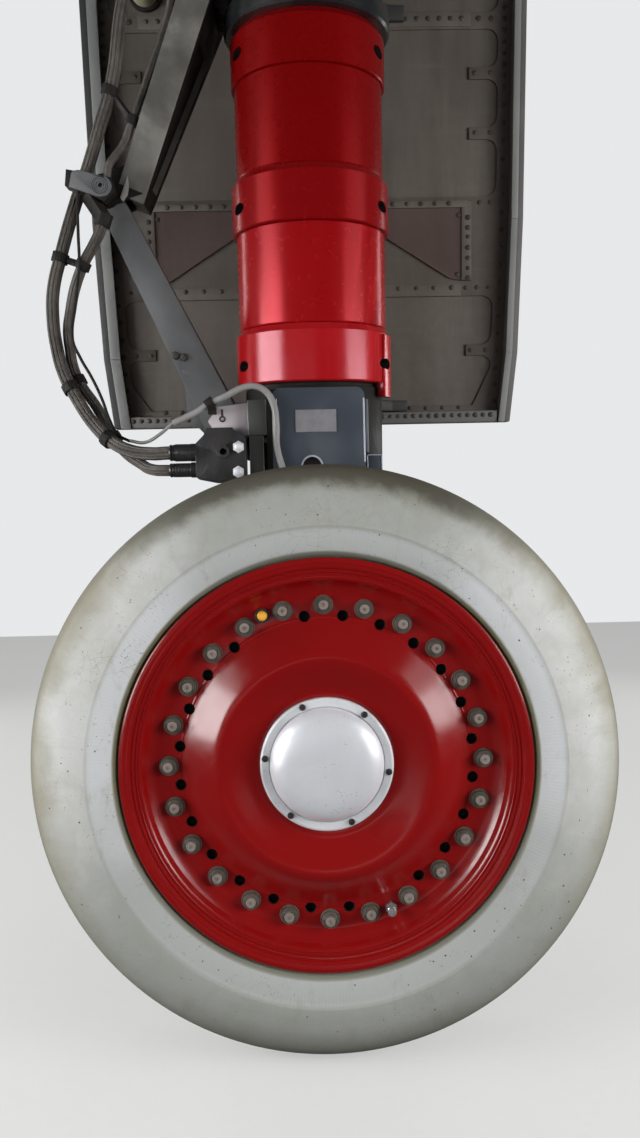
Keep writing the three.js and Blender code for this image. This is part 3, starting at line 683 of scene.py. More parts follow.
@dataclass(frozen=True)
class TyreRubber(Finish):
    """Chalky, weathered grey rubber with a smooth band beside the rim and brown dirt towards the tread, and painted
    shade, partly grime, on its lower half and along its top.
    """

    name: str = "TyreRubber"
    chalk: Colour = (0.435, 0.44, 0.425)
    pale: Colour = (0.53, 0.535, 0.53)
    smudge: Colour = (0.29, 0.28, 0.235)
    band: Colour = (0.45, 0.465, 0.48)
    dirt: Colour = (0.17, 0.155, 0.10)
    bead: Colour = (0.105, 0.10, 0.055)
    tread: Colour = (0.10, 0.092, 0.065)
    rust: Colour = (0.30, 0.22, 0.13)
    crack: Colour = (0.07, 0.065, 0.05)
    # Grey laid on the lower half and the top of the side wall: painted shade, partly grime
    grime_and_shade: Colour = (0.165, 0.172, 0.148)
    # Near-black laid on the shoulder at the top only: painted shade
    shoulder: Colour = (0.055, 0.050, 0.034)
    # Radii in metres between which each zone comes up
    dirt_reach: Point2 = (0.345, 0.392)
    tread_reach: Point2 = (0.362, 0.379)
    shoulder_shade_reach: Point2 = (0.346, 0.367)
    band_inner: Point2 = (0.2665, 0.2685)
    band_outer: Point2 = (0.2985, 0.2935)
    bead_reach: Point2 = (0.2682, 0.2650)
    flutes: float = 420.0

    def make(self) -> Paint:
        """Build the material."""
        material, graph, place = self.begin()
        radius, turn = self.effect(graph, Effects.about_axle(), place)
        cloud = self.effect(graph, Effects.mottle(), place, Scale=6.0)[0]
        fine_cloud, fine_grain = self.effect(graph, Effects.mottle(), place, Scale=30.0)
        # Streaks that run outwards from the rim, from noise stretched along the radius
        fan = graph.node("ShaderNodeCombineXYZ")
        graph.feed(fan.inputs["X"], graph.times(turn, 14.0))
        graph.feed(fan.inputs["Y"], graph.times(radius, 9.0))
        streaks = graph.noise(fan.outputs[0], 1.0, 5.0, 0.65)
        uneven = graph.plus(graph.times(cloud, 0.016), graph.times(streaks, 0.016))
        # Painted shade, partly grime: the lower half and the very top of the side wall are darkened
        rise = graph.maths("SINE", turn)
        low = graph.span(graph.plus(rise, graph.times(cloud, 0.25)), 0.25, -0.55)
        high = graph.span(graph.plus(rise, graph.times(uneven, 4.0)), 0.72, 1.0)
        dirt_zone = graph.span(graph.plus(radius, uneven), *self.dirt_reach)
        tread_zone = graph.span(radius, *self.tread_reach)
        in_band = graph.times(graph.span(radius, *self.band_inner), graph.span(radius, *self.band_outer))
        colour = graph.layer(self.chalk, self.smudge, cloud, 0.36)
        colour = graph.layer(colour, self.pale, fine_cloud, 0.35)
        colour = graph.layer(colour, self.smudge, graph.span(streaks, 0.52, 0.72), 0.25)
        colour = graph.layer(colour, self.dirt, dirt_zone, 0.72)
        colour = graph.layer(colour, self.tread, tread_zone, 0.7)
        soft_band = graph.layer(self.band, self.pale, fine_grain, 0.5)
        colour = graph.layer(colour, soft_band, in_band, 0.85)
        colour = graph.mix(graph.span(radius, *self.bead_reach), colour, self.bead)
        bent = graph.node("ShaderNodeVectorMath", operation="ADD")
        graph.feed(bent.inputs[0], place)
        graph.feed(bent.inputs[1], graph.times(graph.noise(place, 40.0), 0.03))
        cracks = graph.span(graph.cells(bent.outputs[0], 60.0, "DISTANCE_TO_EDGE"), 0.010, 0.0)
        cracks = graph.times(cracks, graph.span(graph.noise(place, 13.0), 0.5, 0.62))
        specks = self.effect(graph, Effects.specks(), place, Scale=170.0, Size=0.15)[0]
        rust = self.effect(graph, Effects.specks(), place, Scale=64.0, Size=0.13)[0]
        scuffs = graph.span(graph.noise(graph.stretched(place, (26.0, 26.0, 9.0)), 1.0, 6.0, 0.72), 0.56, 0.70)
        colour = graph.layer(colour, self.smudge, scuffs, 0.46)
        marks = graph.plus(graph.times(cracks, 0.75), graph.times(specks, 0.45), clamp=True)
        colour = graph.layer(colour, self.rust, rust, 0.35)
        colour = graph.mix(marks, colour, self.crack)
        grime_and_shade = graph.plus(graph.times(low, 0.66), graph.times(high, 0.58))
        grime_and_shade = graph.times(grime_and_shade, graph.maths("SUBTRACT", 1.0, graph.times(in_band, 0.2)))
        colour = graph.mix(grime_and_shade, colour, self.grime_and_shade)
        # Painted shade: the shoulder is darkened near-black along the top only
        shoulder = graph.plus(radius, graph.times(fine_cloud, 0.008))
        shoulder = graph.times(graph.span(shoulder, *self.shoulder_shade_reach), high)
        colour = graph.layer(colour, self.shoulder, shoulder, 0.85)
        flutes = graph.times(graph.maths("SINE", graph.times(turn, self.flutes)), in_band)
        height = graph.maths("SUBTRACT", graph.times(fine_grain, 0.6), graph.times(cracks, 0.8))
        height = graph.plus(height, graph.times(flutes, 0.10))
        return self.end(material, Base_Color=colour, Roughness=graph.span(fine_grain, 0.2, 0.8, 0.66, 0.92),
                        Specular_IOR_Level=0.3, Normal=graph.bump(height, 0.35, 0.0012))


@dataclass(frozen=True)
class RedEnamel(Finish):
    """Thick glossy red enamel, with fine dust and, on the strut, runs in the paint."""

    name: str = "RedEnamel"
    colour: Colour = (0.172, 0.0026, 0.0026)
    light: Colour = (0.27, 0.006, 0.006)
    runs: float = 0.0
    roughness: float = 0.12
    gloss: float = 0.62
    tint: Colour = (1.0, 1.0, 1.0)
    chip: Colour = (0.36, 0.10, 0.09)

    def make(self) -> Paint:
        """Build the material."""
        material, graph, place = self.begin()
        cloud, grain = self.effect(graph, Effects.mottle(), place, Scale=5.0)
        colour = graph.layer(self.colour, self.light, cloud, 0.18)
        height = graph.times(grain, 0.06)
        if self.runs:
            fine_runs = self.effect(graph, Effects.runs(), place)[0]
            # The paint has run most on the strut's right side
            parts = graph.node("ShaderNodeSeparateXYZ")
            graph.feed(parts.inputs[0], place)
            right = graph.span(parts.outputs["X"], 0.20, 0.30, 0.15, 1.0)
            fine = graph.times(graph.times(fine_runs, right), self.runs)
            colour = graph.layer(colour, self.light, fine, 0.35)
            height = graph.plus(height, graph.times(fine, 0.5))
        specks = self.effect(graph, Effects.specks(), place, Scale=190.0, Size=0.10)[0]
        colour = graph.layer(colour, self.chip, specks, 0.14)
        rough = graph.span(grain, 0.3, 0.7, self.roughness, self.roughness + 0.06)
        return self.end(material, Base_Color=colour, Roughness=rough, Specular_IOR_Level=self.gloss,
                        Specular_Tint=self.tint, Normal=graph.bump(height, 0.08, 0.0006))


@dataclass(frozen=True)
class SilverPaint(Finish):
    """Satin aluminium paint with a fine flake and dull patches."""

    name: str = "SilverPaint"
    colour: Colour = (0.46, 0.475, 0.51)
    dull: Colour = (0.36, 0.37, 0.39)
    speck: Colour = (0.12, 0.12, 0.12)
    metallic: float = 0.4
    roughness: float = 0.3

    def make(self) -> Paint:
        """Build the material."""
        material, graph, place = self.begin()
        cloud, grain = self.effect(graph, Effects.mottle(), place, Scale=14.0)
        specks = self.effect(graph, Effects.specks(), place, Scale=240.0, Size=0.18)[0]
        colour = graph.layer(self.colour, self.dull, cloud, 0.45)
        colour = graph.layer(colour, self.speck, specks, 0.5)
        rough = graph.span(grain, 0.25, 0.75, self.roughness, self.roughness + 0.2)
        return self.end(material, Base_Color=colour, Metallic=self.metallic, Roughness=rough,
                        Normal=graph.bump(grain, 0.12, 0.0006))


@dataclass(frozen=True)
class WornMetal(Finish):
    """Bare or plated metal, dull with brown dirt in its clouds."""

    name: str = "WornMetal"
    colour: Colour = (0.30, 0.285, 0.25)
    dirt: Colour = (0.085, 0.072, 0.055)
    metallic: float = 0.75
    roughness: float = 0.42
    dirt_share: float = 0.7

    def make(self) -> Paint:
        """Build the material."""
        material, graph, place = self.begin()
        cloud, grain = self.effect(graph, Effects.mottle(), place, Scale=42.0)
        dirt = graph.times(cloud, self.dirt_share)
        clean_metal = graph.times(graph.maths("SUBTRACT", 1.0, dirt), self.metallic)
        rough = graph.span(dirt, 0.0, 1.0, self.roughness, self.roughness + 0.35)
        return self.end(material, Base_Color=graph.mix(dirt, self.colour, self.dirt), Metallic=clean_metal,
                        Roughness=rough, Normal=graph.bump(grain, 0.25, 0.0008))


@dataclass(frozen=True)
class HardEnamel(Finish):
    """Brushed-on enamel for forgings and brackets, with dust, runs and chips."""

    name: str = "HardEnamel"
    colour: Colour = (0.045, 0.053, 0.068)
    dust: Colour = (0.16, 0.165, 0.175)
    dust_share: float = 0.35
    roughness: float = 0.34
    coat: float = 0.25
    grain: float = 0.2
    gloss: float = 0.5

    def make(self) -> Paint:
        """Build the material."""
        material, graph, place = self.begin()
        cloud, grain = self.effect(graph, Effects.mottle(), place, Scale=11.0)
        broad_runs = self.effect(graph, Effects.runs(), place)[1]
        specks = self.effect(graph, Effects.specks(), place, Scale=190.0, Size=0.14)[0]
        dust = graph.times(graph.times(cloud, self.dust_share), graph.span(broad_runs, 0.0, 1.0, 0.5, 1.0))
        colour = graph.mix(dust, self.colour, self.dust)
        colour = graph.layer(colour, self.dust, specks, 0.45)
        rough = graph.span(dust, 0.0, 0.4, self.roughness, self.roughness + 0.3)
        return self.end(material, Base_Color=colour, Roughness=rough, Specular_IOR_Level=self.gloss,
                        Coat_Weight=self.coat, Coat_Roughness=0.2, Normal=graph.bump(grain, self.grain, 0.001))


@dataclass(frozen=True)
class SheetPrimer(Finish):
    """Dull grey primer on the door's sheet metal, streaked and stained."""

    name: str = "SheetPrimer"
    colour: Colour = (0.078, 0.066, 0.055)
    stain: Colour = (0.040, 0.031, 0.026)
    bare: Colour = (0.15, 0.138, 0.12)
    roughness: float = 0.5

    def make(self) -> Paint:
        """Build the material."""
        material, graph, place = self.begin()
        cloud, grain = self.effect(graph, Effects.mottle(), place, Scale=4.5)
        fine_runs, broad_runs = self.effect(graph, Effects.runs(), place)
        scratches = graph.noise(graph.stretched(place, (5.0, 5.0, 70.0), (0.0, 0.35, 0.0)), 1.0, 4.0, 0.6)
        colour = graph.layer(self.colour, self.stain, cloud, 0.45)
        colour = graph.layer(colour, self.bare, broad_runs, 0.22)
        colour = graph.layer(colour, self.stain, fine_runs, 0.18)
        colour = graph.layer(colour, self.bare, graph.span(scratches, 0.55, 0.8), 0.18)
        rough = graph.span(grain, 0.25, 0.75, self.roughness, self.roughness + 0.2)
        height = graph.plus(graph.times(grain, 0.5), graph.times(cloud, 0.8))
        return self.end(
            material, Base_Color=colour, Metallic=0.1, Roughness=rough, Normal=graph.bump(height, 0.12, 0.002))


@dataclass(frozen=True)
class WovenHose(Finish):
    """Dusty hose cover with a woven texture that follows the hose."""

    name: str = "WovenHose"
    colour: Colour = (0.030, 0.026, 0.022)
    dust: Colour = (0.12, 0.11, 0.097)
    roughness: float = 0.55

    def make(self) -> Paint:
        """Build the material."""
        material, graph, place = self.begin()
        cloud = self.effect(graph, Effects.mottle(), place, Scale=22.0)[0]
        weave = graph.noise(graph.stretched(place, (300.0, 300.0, 120.0)), 1.0, 2.0, 0.6)
        share = graph.plus(graph.times(cloud, 0.4), graph.times(graph.span(weave, 0.4, 0.7), 0.3))
        rough = graph.span(weave, 0.3, 0.7, self.roughness, self.roughness + 0.25)
        return self.end(material, Base_Color=graph.mix(share, self.colour, self.dust), Roughness=rough,
                        Normal=graph.bump(weave, 0.3, 0.0008))


@dataclass(frozen=True)
class FloorPaint(Finish):
    """The studio floor's pale paint, which glows a little so that no shadow on it turns dark."""

    name: str = "PaleFloor"
    colour: Colour = (0.28, 0.28, 0.275)
    light: Colour = (0.30, 0.30, 0.295)
    glow: Colour = (0.42, 0.42, 0.415)
    bright: Colour = (0.44, 0.44, 0.435)

    def make(self) -> Paint:
        """Build the material."""
        material, graph, place = self.begin()
        colour = graph.mix(graph.noise(place, 90.0, 3.0), self.colour, self.light)
        glow = graph.mix(graph.noise(place, 60.0, 3.0), self.glow, self.bright)
        return self.end(material, Base_Color=colour, Emission_Color=glow, Emission_Strength=1.0, Roughness=0.8)


class Paintshop:
    """Each finish, made once and kept."""

    def __init__(self) -> None:
        """Make all the finishes."""
        self.tyre = TyreRubber().make()
        self.wheel_red = RedEnamel("WheelRed", roughness=0.17).make()
        # The strut's red is one paint in lit and shaded copies: painted light on the lowest collar and sleeve, painted
        # shade growing darker up to the top collar
        low_red_painted_light = RedEnamel(
            "CollarRedPaintedLight", (0.25, 0.004, 0.0055), (0.36, 0.012, 0.016), runs=2.2, roughness=0.19,
            gloss=0.7, tint=(1.0, 0.55, 0.64)).make()
        sleeve_red_painted_light = RedEnamel(
            "SleeveRedPaintedLight", (0.185, 0.0022, 0.0030), (0.32, 0.008, 0.010), runs=1.8, roughness=0.22,
            gloss=1.0, tint=(1.0, 0.13, 0.16)).make()
        middle_red_painted_shade = RedEnamel(
            "MiddleRedPaintedShade", (0.140, 0.0020, 0.0026), (0.2, 0.005, 0.007), runs=0.6, roughness=0.22,
            gloss=0.9, tint=(1.0, 0.05, 0.06)).make()
        high_red_painted_shade = RedEnamel(
            "HighRedPaintedShade", (0.115, 0.0014, 0.0016), (0.15, 0.003, 0.004), runs=0.4, roughness=0.26,
            gloss=0.9, tint=(1.0, 0.02, 0.025)).make()
        self.strut_reds_shaded_by_height = {
            "collar_lower": low_red_painted_light, "sleeve_lower": sleeve_red_painted_light, "collar_middle": middle_red_painted_shade, "sleeve_upper": high_red_painted_shade,
            "collar_upper": high_red_painted_shade}
        self.silver = SilverPaint(colour=(0.73, 0.745, 0.78), dull=(0.61, 0.62, 0.65), metallic=0.42).make()
        self.ring_silver = SilverPaint("RingSilver", (0.66, 0.67, 0.69), metallic=0.3, roughness=0.42).make()
        self.nut = WornMetal(
            "TieNut", (0.115, 0.108, 0.088), (0.05, 0.044, 0.032), metallic=0.3, roughness=0.45).make()
        self.stud = WornMetal("TieStud", (0.26, 0.215, 0.19), (0.12, 0.095, 0.08), metallic=0.3, roughness=0.45).make()
        self.screw = WornMetal("DarkScrew", (0.07, 0.068, 0.065), (0.025, 0.023, 0.02)).make()
        self.pit = WornMetal("TyrePit", (0.09, 0.08, 0.06), (0.04, 0.03, 0.02), metallic=0.0, roughness=0.8).make()
        self.steel = WornMetal("BrakeSteel", (0.26, 0.25, 0.23), dirt_share=0.5).make()
        self.bright = WornMetal(
            "BrightSteel", (0.62, 0.62, 0.62), (0.2, 0.19, 0.17), metallic=1.0, roughness=0.16, dirt_share=0.35).make()
        self.slate = HardEnamel(
            "SlateEnamel", (0.033, 0.039, 0.050), (0.07, 0.08, 0.093), dust_share=0.35,
            roughness=0.36, coat=0.15).make()
        self.black = HardEnamel(
            "BlackEnamel", (0.008, 0.009, 0.010), (0.05, 0.045, 0.038), roughness=0.25, coat=0.4).make()
        self.oily = HardEnamel(
            "OilyBlack", (0.012, 0.0115, 0.012), (0.030, 0.027, 0.024), dust_share=0.6, roughness=0.3,
            coat=0.5, grain=0.6).make()
        self.link = HardEnamel(
            "LinkGrey", (0.050, 0.047, 0.040), (0.165, 0.160, 0.146), dust_share=0.9, roughness=0.42,
            coat=0.05, grain=0.35).make()
        self.lower_link = HardEnamel(
            "LowerLinkGrey", (0.066, 0.067, 0.069), (0.135, 0.137, 0.140), dust_share=0.45,
            roughness=0.42, coat=0.05, grain=0.3).make()
        self.box_grey = HardEnamel(
            "BoxGrey", (0.040, 0.042, 0.038), (0.07, 0.072, 0.066), dust_share=0.4, roughness=0.45, coat=0.05).make()
        self.gusset = HardEnamel(
            "GussetGrey", (0.34, 0.305, 0.32), (0.44, 0.40, 0.42), dust_share=0.5, roughness=0.5, coat=0.0).make()
        self.beam = HardEnamel(
            "BeamGrey", (0.075, 0.073, 0.070), (0.125, 0.122, 0.116), dust_share=0.5, roughness=0.45, coat=0.05).make()
        self.door = SheetPrimer().make()
        self.rivet = WornMetal("Rivet", (0.055, 0.048, 0.04), (0.02, 0.016, 0.013), metallic=0.3, roughness=0.5).make()
        self.hose = WovenHose().make()
        self.clamp = HardEnamel(
            "ClampBlack", (0.010, 0.0095, 0.009), (0.024, 0.021, 0.018), dust_share=0.5,
            roughness=0.5, coat=0.0, grain=0.8, gloss=0.18).make()
        self.conduit = HardEnamel(
            "ConduitGrey", (0.17, 0.165, 0.16), (0.26, 0.255, 0.245), dust_share=0.5, roughness=0.45,
            coat=0.05, grain=0.4).make()
        self.plug = WornMetal(
            "OrangePlug", (0.72, 0.36, 0.04), (0.34, 0.15, 0.015), metallic=0.0, roughness=0.4).make()
        # Near-black that stands for shade on the upper link and inside the wheel's vents: painted shade
        self.shade = HardEnamel(
            "PaintedShadeBlack", (0.006, 0.0055, 0.005), (0.016, 0.014, 0.012), dust_share=0.6,
            roughness=0.42, coat=0.0, grain=0.3, gloss=0.2).make()
        # Pale grey for the housing's edge beads and the box bracket's slanted facets: painted highlight, partly edge
        # wear
        self.edge_wear_and_highlight = HardEnamel(
            "EdgeWearAndHighlight", (0.22, 0.235, 0.27), (0.36, 0.37, 0.40), dust_share=0.5, roughness=0.25, coat=0.3).make()
        # Paler grey on the door beams' flanges: painted highlight along the bend
        self.flange = HardEnamel(
            "FlangeHighlight", (0.145, 0.150, 0.145), (0.22, 0.225, 0.215), dust_share=0.5, roughness=0.4,
            coat=0.05, grain=0.3).make()
        self.dark_beam = SheetPrimer(
            "DarkBeam", (0.030, 0.030, 0.030), (0.018, 0.018, 0.016), bare=(0.045, 0.045, 0.043)).make()
        self.pocket = SheetPrimer(
            "PocketPrimer", (0.088, 0.062, 0.055), (0.055, 0.036, 0.032), bare=(0.11, 0.085, 0.075)).make()
        self.buffer = WornMetal(
            "BufferRubber", (0.30, 0.29, 0.19), (0.16, 0.15, 0.09), metallic=0.0, roughness=0.5).make()
        self.plate = WornMetal(
            "BlankPlate", (0.165, 0.160, 0.170), (0.125, 0.12, 0.128), metallic=0.1, roughness=0.55).make()


@dataclass
class SubAssembly:
    """A part of the leg that is built as one: its finishes and the CAD body that it rides on."""

    paint: Paintshop
    body: ClassVar[Body] = Body.LEG

    def dress(self, piece: Piece, material: Paint, slot: str, node: str = "", smooth: float = SHARP_EDGE) -> Piece:
        """Dress a finished piece and let it ride on the sub-assembly's body.

        Args:
            piece: The piece, in the frame's metres.
            material: Its finish.
            slot: The record's material slot; not used.
            node: The CAD node that it stands for, unless it was copied from one.
            smooth: Edges up to this many degrees are shaded smooth.

        Returns:
            The same piece.
        """
        piece.data.materials.clear()
        piece.data.materials.append(material)
        Bench.pick(piece)
        bpy.ops.object.shade_smooth_by_angle(angle=math.radians(smooth))
        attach(piece, self.body.value)
        if node:
            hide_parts(node)
        log.info("%s on %s: %d faces", piece.name, self.body.value, len(piece.data.polygons))
        return piece

    def settle(self, piece: Piece, where: Matrix, material: Paint, slot: str, node: str = "",
               smooth: float = SHARP_EDGE, edges: float = 0.0) -> Piece:
        """Place a piece that was modelled in millimetres, with its edges broken this wide, then dress it."""
        if edges:
            Bench.broken_edges(piece, edges)
        return self.dress(Bench.place(piece, where), material, slot, node, smooth)

    def dress_node(self, node: str, name: str, bevel: float, material: Paint, slot: str) -> Piece:
        """Dress a copy of a CAD node, with its edges broken this wide."""
        return self.dress(Bench.from_node(node, name, bevel), material, slot)


@dataclass
class BrakedWheel(SubAssembly):
    """The tyre, the split wheel with its tie bolts, the hub cap and the fittings in the bolt flat."""

    body: ClassVar[Body] = Body.WHEEL
    flat: float = -74.0
    bolt_circle: float = 200.0
    bolt_count: int = 24
    vent_circle: float = 187.0
    vent_radius: float = 7.3
    plug_circle: float = 203.0
    plug_angle: float = 112.5
    valve_angle: float = 292.5
    steps: int = 160

    def build(self) -> None:
        """Build every piece that turns with the wheel."""
        self.tyre()
        self.outer_half()
        self.inner_half()
        self.tie_bolts()
        self.hub_cap()
        self.fittings()

    def tyre(self) -> None:
        """The tyre, with straight grooves in its tread and a smooth band beside the rim."""
        tread = [(381.0, 0.0)]
        for edge in (14.0, 46.0):
            tread += [(380.7, edge), (375.2, edge + 1.2), (375.2, edge + 6.8), (380.3, edge + 8.0)]
        shoulder = eased([(379.0, 60.0), (374.0, 74.0), (363.0, 88.0), (348.0, 98.5), (329.0, 106.6), (310.0, 110.4)])
        band = [(300.0, 111.0), (298.6, 110.9), (297.6, 110.0), (290.0, 109.3), (280.0, 107.4), (270.0, 104.2),
                (267.0, 102.6), (265.6, 99.4), (264.0, 98.6), (262.6, 96.0), (262.0, 93.0)]
        inside = [(256.5, 87.7), (238.4, 87.5), (238.4, 66.0), (258.0, 70.0), (284.0, 93.0), (326.0, 93.0),
                  (354.0, 70.0), (366.0, 0.0)]
        half = [*tread, *shoulder, *band, *inside]
        outline = half + [(radius, -y) for radius, y in reversed(half[1:-1])]
        piece = Bench.turned("tyre_rubber", outline, 192, ring=True)
        self.settle(piece, ON_AXLE, self.paint.tyre, "tyre", "tyre", 40)
        self.pits()

    def pits(self) -> None:
        """The small dark pits scattered over the tyre's outer side."""
        pit = Bench.rod("pit", 1.0, -0.25, 0.30, 8, 0.2)
        side = [(270.0, -104.2), (280.0, -107.4), (290.0, -109.3), (310.0, -110.4), (329.0, -106.6), (348.0, -98.5),
                (360.0, -90.3)]
        scatter = random.Random(41)
        places = []
        for _ in range(110):
            radius = scatter.uniform(271.0, 356.0)
            place = facing(radius, scatter.uniform(0.0, 360.0), between(radius, side))
            places.append(place @ widened(scatter.uniform(0.55, 1.35)))
        self.settle(Bench.copies(pit, "tyre_pits", places), ON_WHEEL, self.paint.pit, "tyre")

    def outer_half(self) -> None:
        """The outer wheel half: hub face, crowned web, bolt flat, dished barrel and stepped flange."""
        crown = eased([
            (88.0, -84.8), (94.0, -85.6), (101.0, -88.2), (108.0, -91.6), (116.0, -95.6), (123.0, -99.0),
            (130.0, -101.6), (136.0, -102.2), (143.0, -99.8), (153.0, -93.6), (165.0, -85.8), (176.0, -78.6),
            (182.4, -75.6)], 5)
        edge = [(183.6, -75.2), (184.6, -75.3), (185.6, -74.4), (187.0, -74.0)]
        barrel = eased([(207.0, -74.0), (213.0, -75.2), (220.0, -78.8), (225.0, -82.4)], 4)
        lip = [(225.8, -83.6), (227.0, -84.4), (228.0, -85.8), (230.4, -90.0), (232.0, -92.6)]
        flange = [
            (234.2, -94.0), (235.0, -94.1), (235.6, -93.5), (236.6, -93.5), (237.2, -94.2), (238.6, -94.4),
            (239.2, -93.8), (240.2, -93.9), (241.0, -95.4), (243.0, -96.0), (243.8, -95.2), (245.0, -95.3),
            (246.2, -97.2), (249.0, -98.7), (250.0, -98.5), (251.0, -98.8), (254.0, -100.0), (257.5, -99.5),
            (259.6, -98.0), (260.0, -96.4), (258.6, -93.4)]
        outline = [
            (45.3, -84.0), (86.0, -84.0), *crown, *edge, *barrel, *lip, *flange, (251.0, -88.2), (238.2, -88.0),
            (238.2, -58.0), (230.0, -50.0), (230.0, -0.2), (219.0, -0.2), (219.0, -58.0), (183.0, -58.0),
            (150.0, -87.0), (126.0, -87.0), (100.0, -62.0), (70.0, -62.0), (70.0, 40.0), (45.3, 40.0)]
        piece = Bench.turned("wheel_half_outer", outline, self.steps, ring=True)
        cutter = Bench.rod("vent", self.vent_radius, -100.0, -50.0, 24, 0.01)
        places = []
        for index in range(self.bolt_count):
            turn = 97.5 + index * 360 / self.bolt_count
            if (turn - self.plug_angle) % 360 == 0 or (turn - self.valve_angle) % 360 == 0:
                continue
            x, z = around(self.vent_circle, turn)
            places.append(at(x, -z, 0))
        vents = Bench.copies(cutter, "vents", places)
        Bench.carve(piece, vents)
        self.settle(piece, ON_AXLE, self.paint.wheel_red, "red", "wheel_outer_half", 28)
        # Painted shade: near-black closed tubes in the vents stand for the shade inside them
        vent_shade_tube = Bench.turned("vent_shade_tube", [
            (7.25, -59.0), (7.25, -73.6), (6.7, -73.9), (6.3, -73.4), (6.3, -64.0), (0.5, -63.0)], 24)
        self.settle(Bench.copies(vent_shade_tube, "vent_shade_tubes", places), ON_AXLE, self.paint.shade, "black")

    def inner_half(self) -> None:
        """The inner wheel half, with its flange behind the tyre."""
        outline = [
            (182.0, -57.7), (218.7, -57.7), (218.7, 0.2), (230.0, 0.2), (230.0, 50.0), (238.2, 58.0), (238.2, 88.0),
            (251.0, 88.2), (258.0, 92.0), (260.0, 96.0), (257.0, 99.6), (250.0, 99.0), (240.0, 97.0), (232.0, 91.0),
            (226.0, 84.0), (218.0, 56.0), (206.0, 30.0), (206.0, -42.0), (182.0, -42.0)]
        piece = Bench.turned("wheel_half_inner", outline, self.steps, ring=True)
        self.settle(piece, ON_AXLE, self.paint.wheel_red, "red", "wheel_inner_half", 28)

    def tie_bolts(self) -> None:
        """The tie bolts' self-locking nuts on their washers, with the bolt ends standing out."""
        washer = Bench.turned("washer", [
            (11.9, 0.0), (12.4, 0.5), (12.4, 2.0), (11.9, 2.5), (11.3, 2.5), (11.1, 2.1), (10.8, 2.1)], 32)
        nut = Bench.turned("nut", [
            (10.2, 2.0), (10.6, 2.6), (10.6, 8.0), (10.1, 9.2), (9.6, 9.5), (9.3, 9.0), (8.9, 9.0), (8.5, 10.6),
            (7.9, 11.0), (7.4, 10.7), (7.0, 9.6)], 12)
        model = Bench.join("tie_nut", [washer, nut])
        scatter = random.Random(7)
        places = [facing(self.bolt_circle, 90 + index * 360 / self.bolt_count, self.flat, scatter.uniform(0, math.pi))
                  for index in range(self.bolt_count)]
        self.settle(Bench.copies(model, "tie_nuts", places), ON_WHEEL, self.paint.nut, "steel")
        stud = Bench.turned("stud", [(6.5, 3.0), (6.5, 12.0), (6.0, 12.9), (4.6, 13.2), (2.0, 13.0), (1.6, 11.8)], 20)
        self.settle(Bench.copies(stud, "tie_bolts", places), ON_WHEEL, self.paint.stud, "steel")

    def hub_cap(self) -> None:
        """The domed cap, the ring that holds it and the ring's screws."""
        dome = eased([(72.0, -84.3), (72.0, -90.6), (69.4, -98.0), (62.0, -105.2), (51.0, -110.2), (36.0, -112.9),
                      (14.0, -113.9), (0.6, -114.0)], 6)
        cap = Bench.turned("hub_cap_dome", dome, 96)
        self.settle(cap, ON_AXLE, self.paint.silver, "cap_silver", "hub_cap")
        section = [
            (72.3, -84.3), (72.3, -91.0), (73.4, -92.2), (81.4, -92.2), (83.6, -90.8), (84.0, -89.4), (84.0, -84.3)]
        ring = Bench.turned("hub_cap_flange", section, 96, ring=True)
        self.settle(ring, ON_AXLE, self.paint.ring_silver, "cap_silver", "hub_cap_ring")
        head = Bench.turned("screw", [(4.2, 0.0), (4.2, 1.2), (3.4, 2.6), (1.8, 3.1)], 16)
        Bench.carve(head, Bench.box("slot", (-5.0, -0.55, 2.0), (5.0, 0.55, 4.0)))
        places = [facing(78.2, turn, -92.0, index * 1.3)
                  for index, turn in enumerate((112.0, 52.0, -8.0, -68.0, -127.0, 173.0))]
        self.settle(Bench.copies(head, "hub_cap_screws", places), ON_WHEEL, self.paint.screw, "steel")

    def fittings(self) -> None:
        """The orange plug in its dark ring and the inflation valve, in the bolt flat."""
        place = ON_WHEEL @ facing(self.plug_circle, self.plug_angle, self.flat)
        plug = Bench.turned("plug_head", [(5.6, 1.0), (6.4, 4.0), (6.2, 9.0), (4.8, 10.8), (2.4, 11.4)], 20)
        self.settle(plug, place, self.paint.plug, "plug", "filler_plug")
        ring = Bench.rod("plug_ring", 9.4, 0.3, 4.4, 28, 0.8, bore=6.6)
        self.settle(ring, place, self.paint.screw, "black")
        place = ON_WHEEL @ facing(self.plug_circle, self.valve_angle, self.flat)
        base = Bench.turned("base", [(8.0, 0.3), (8.0, 5.0), (7.0, 6.2)], 6)
        stem = Bench.turned("stem", [
            (5.4, 6.0), (5.4, 14.0), (4.6, 14.6), (4.6, 16.0), (5.4, 16.6), (5.4, 19.0), (3.4, 20.0)], 20)
        valve = Bench.join("valve_stem", [base, stem])
        self.settle(valve, place, self.paint.bright, "chrome", "inflation_valve")


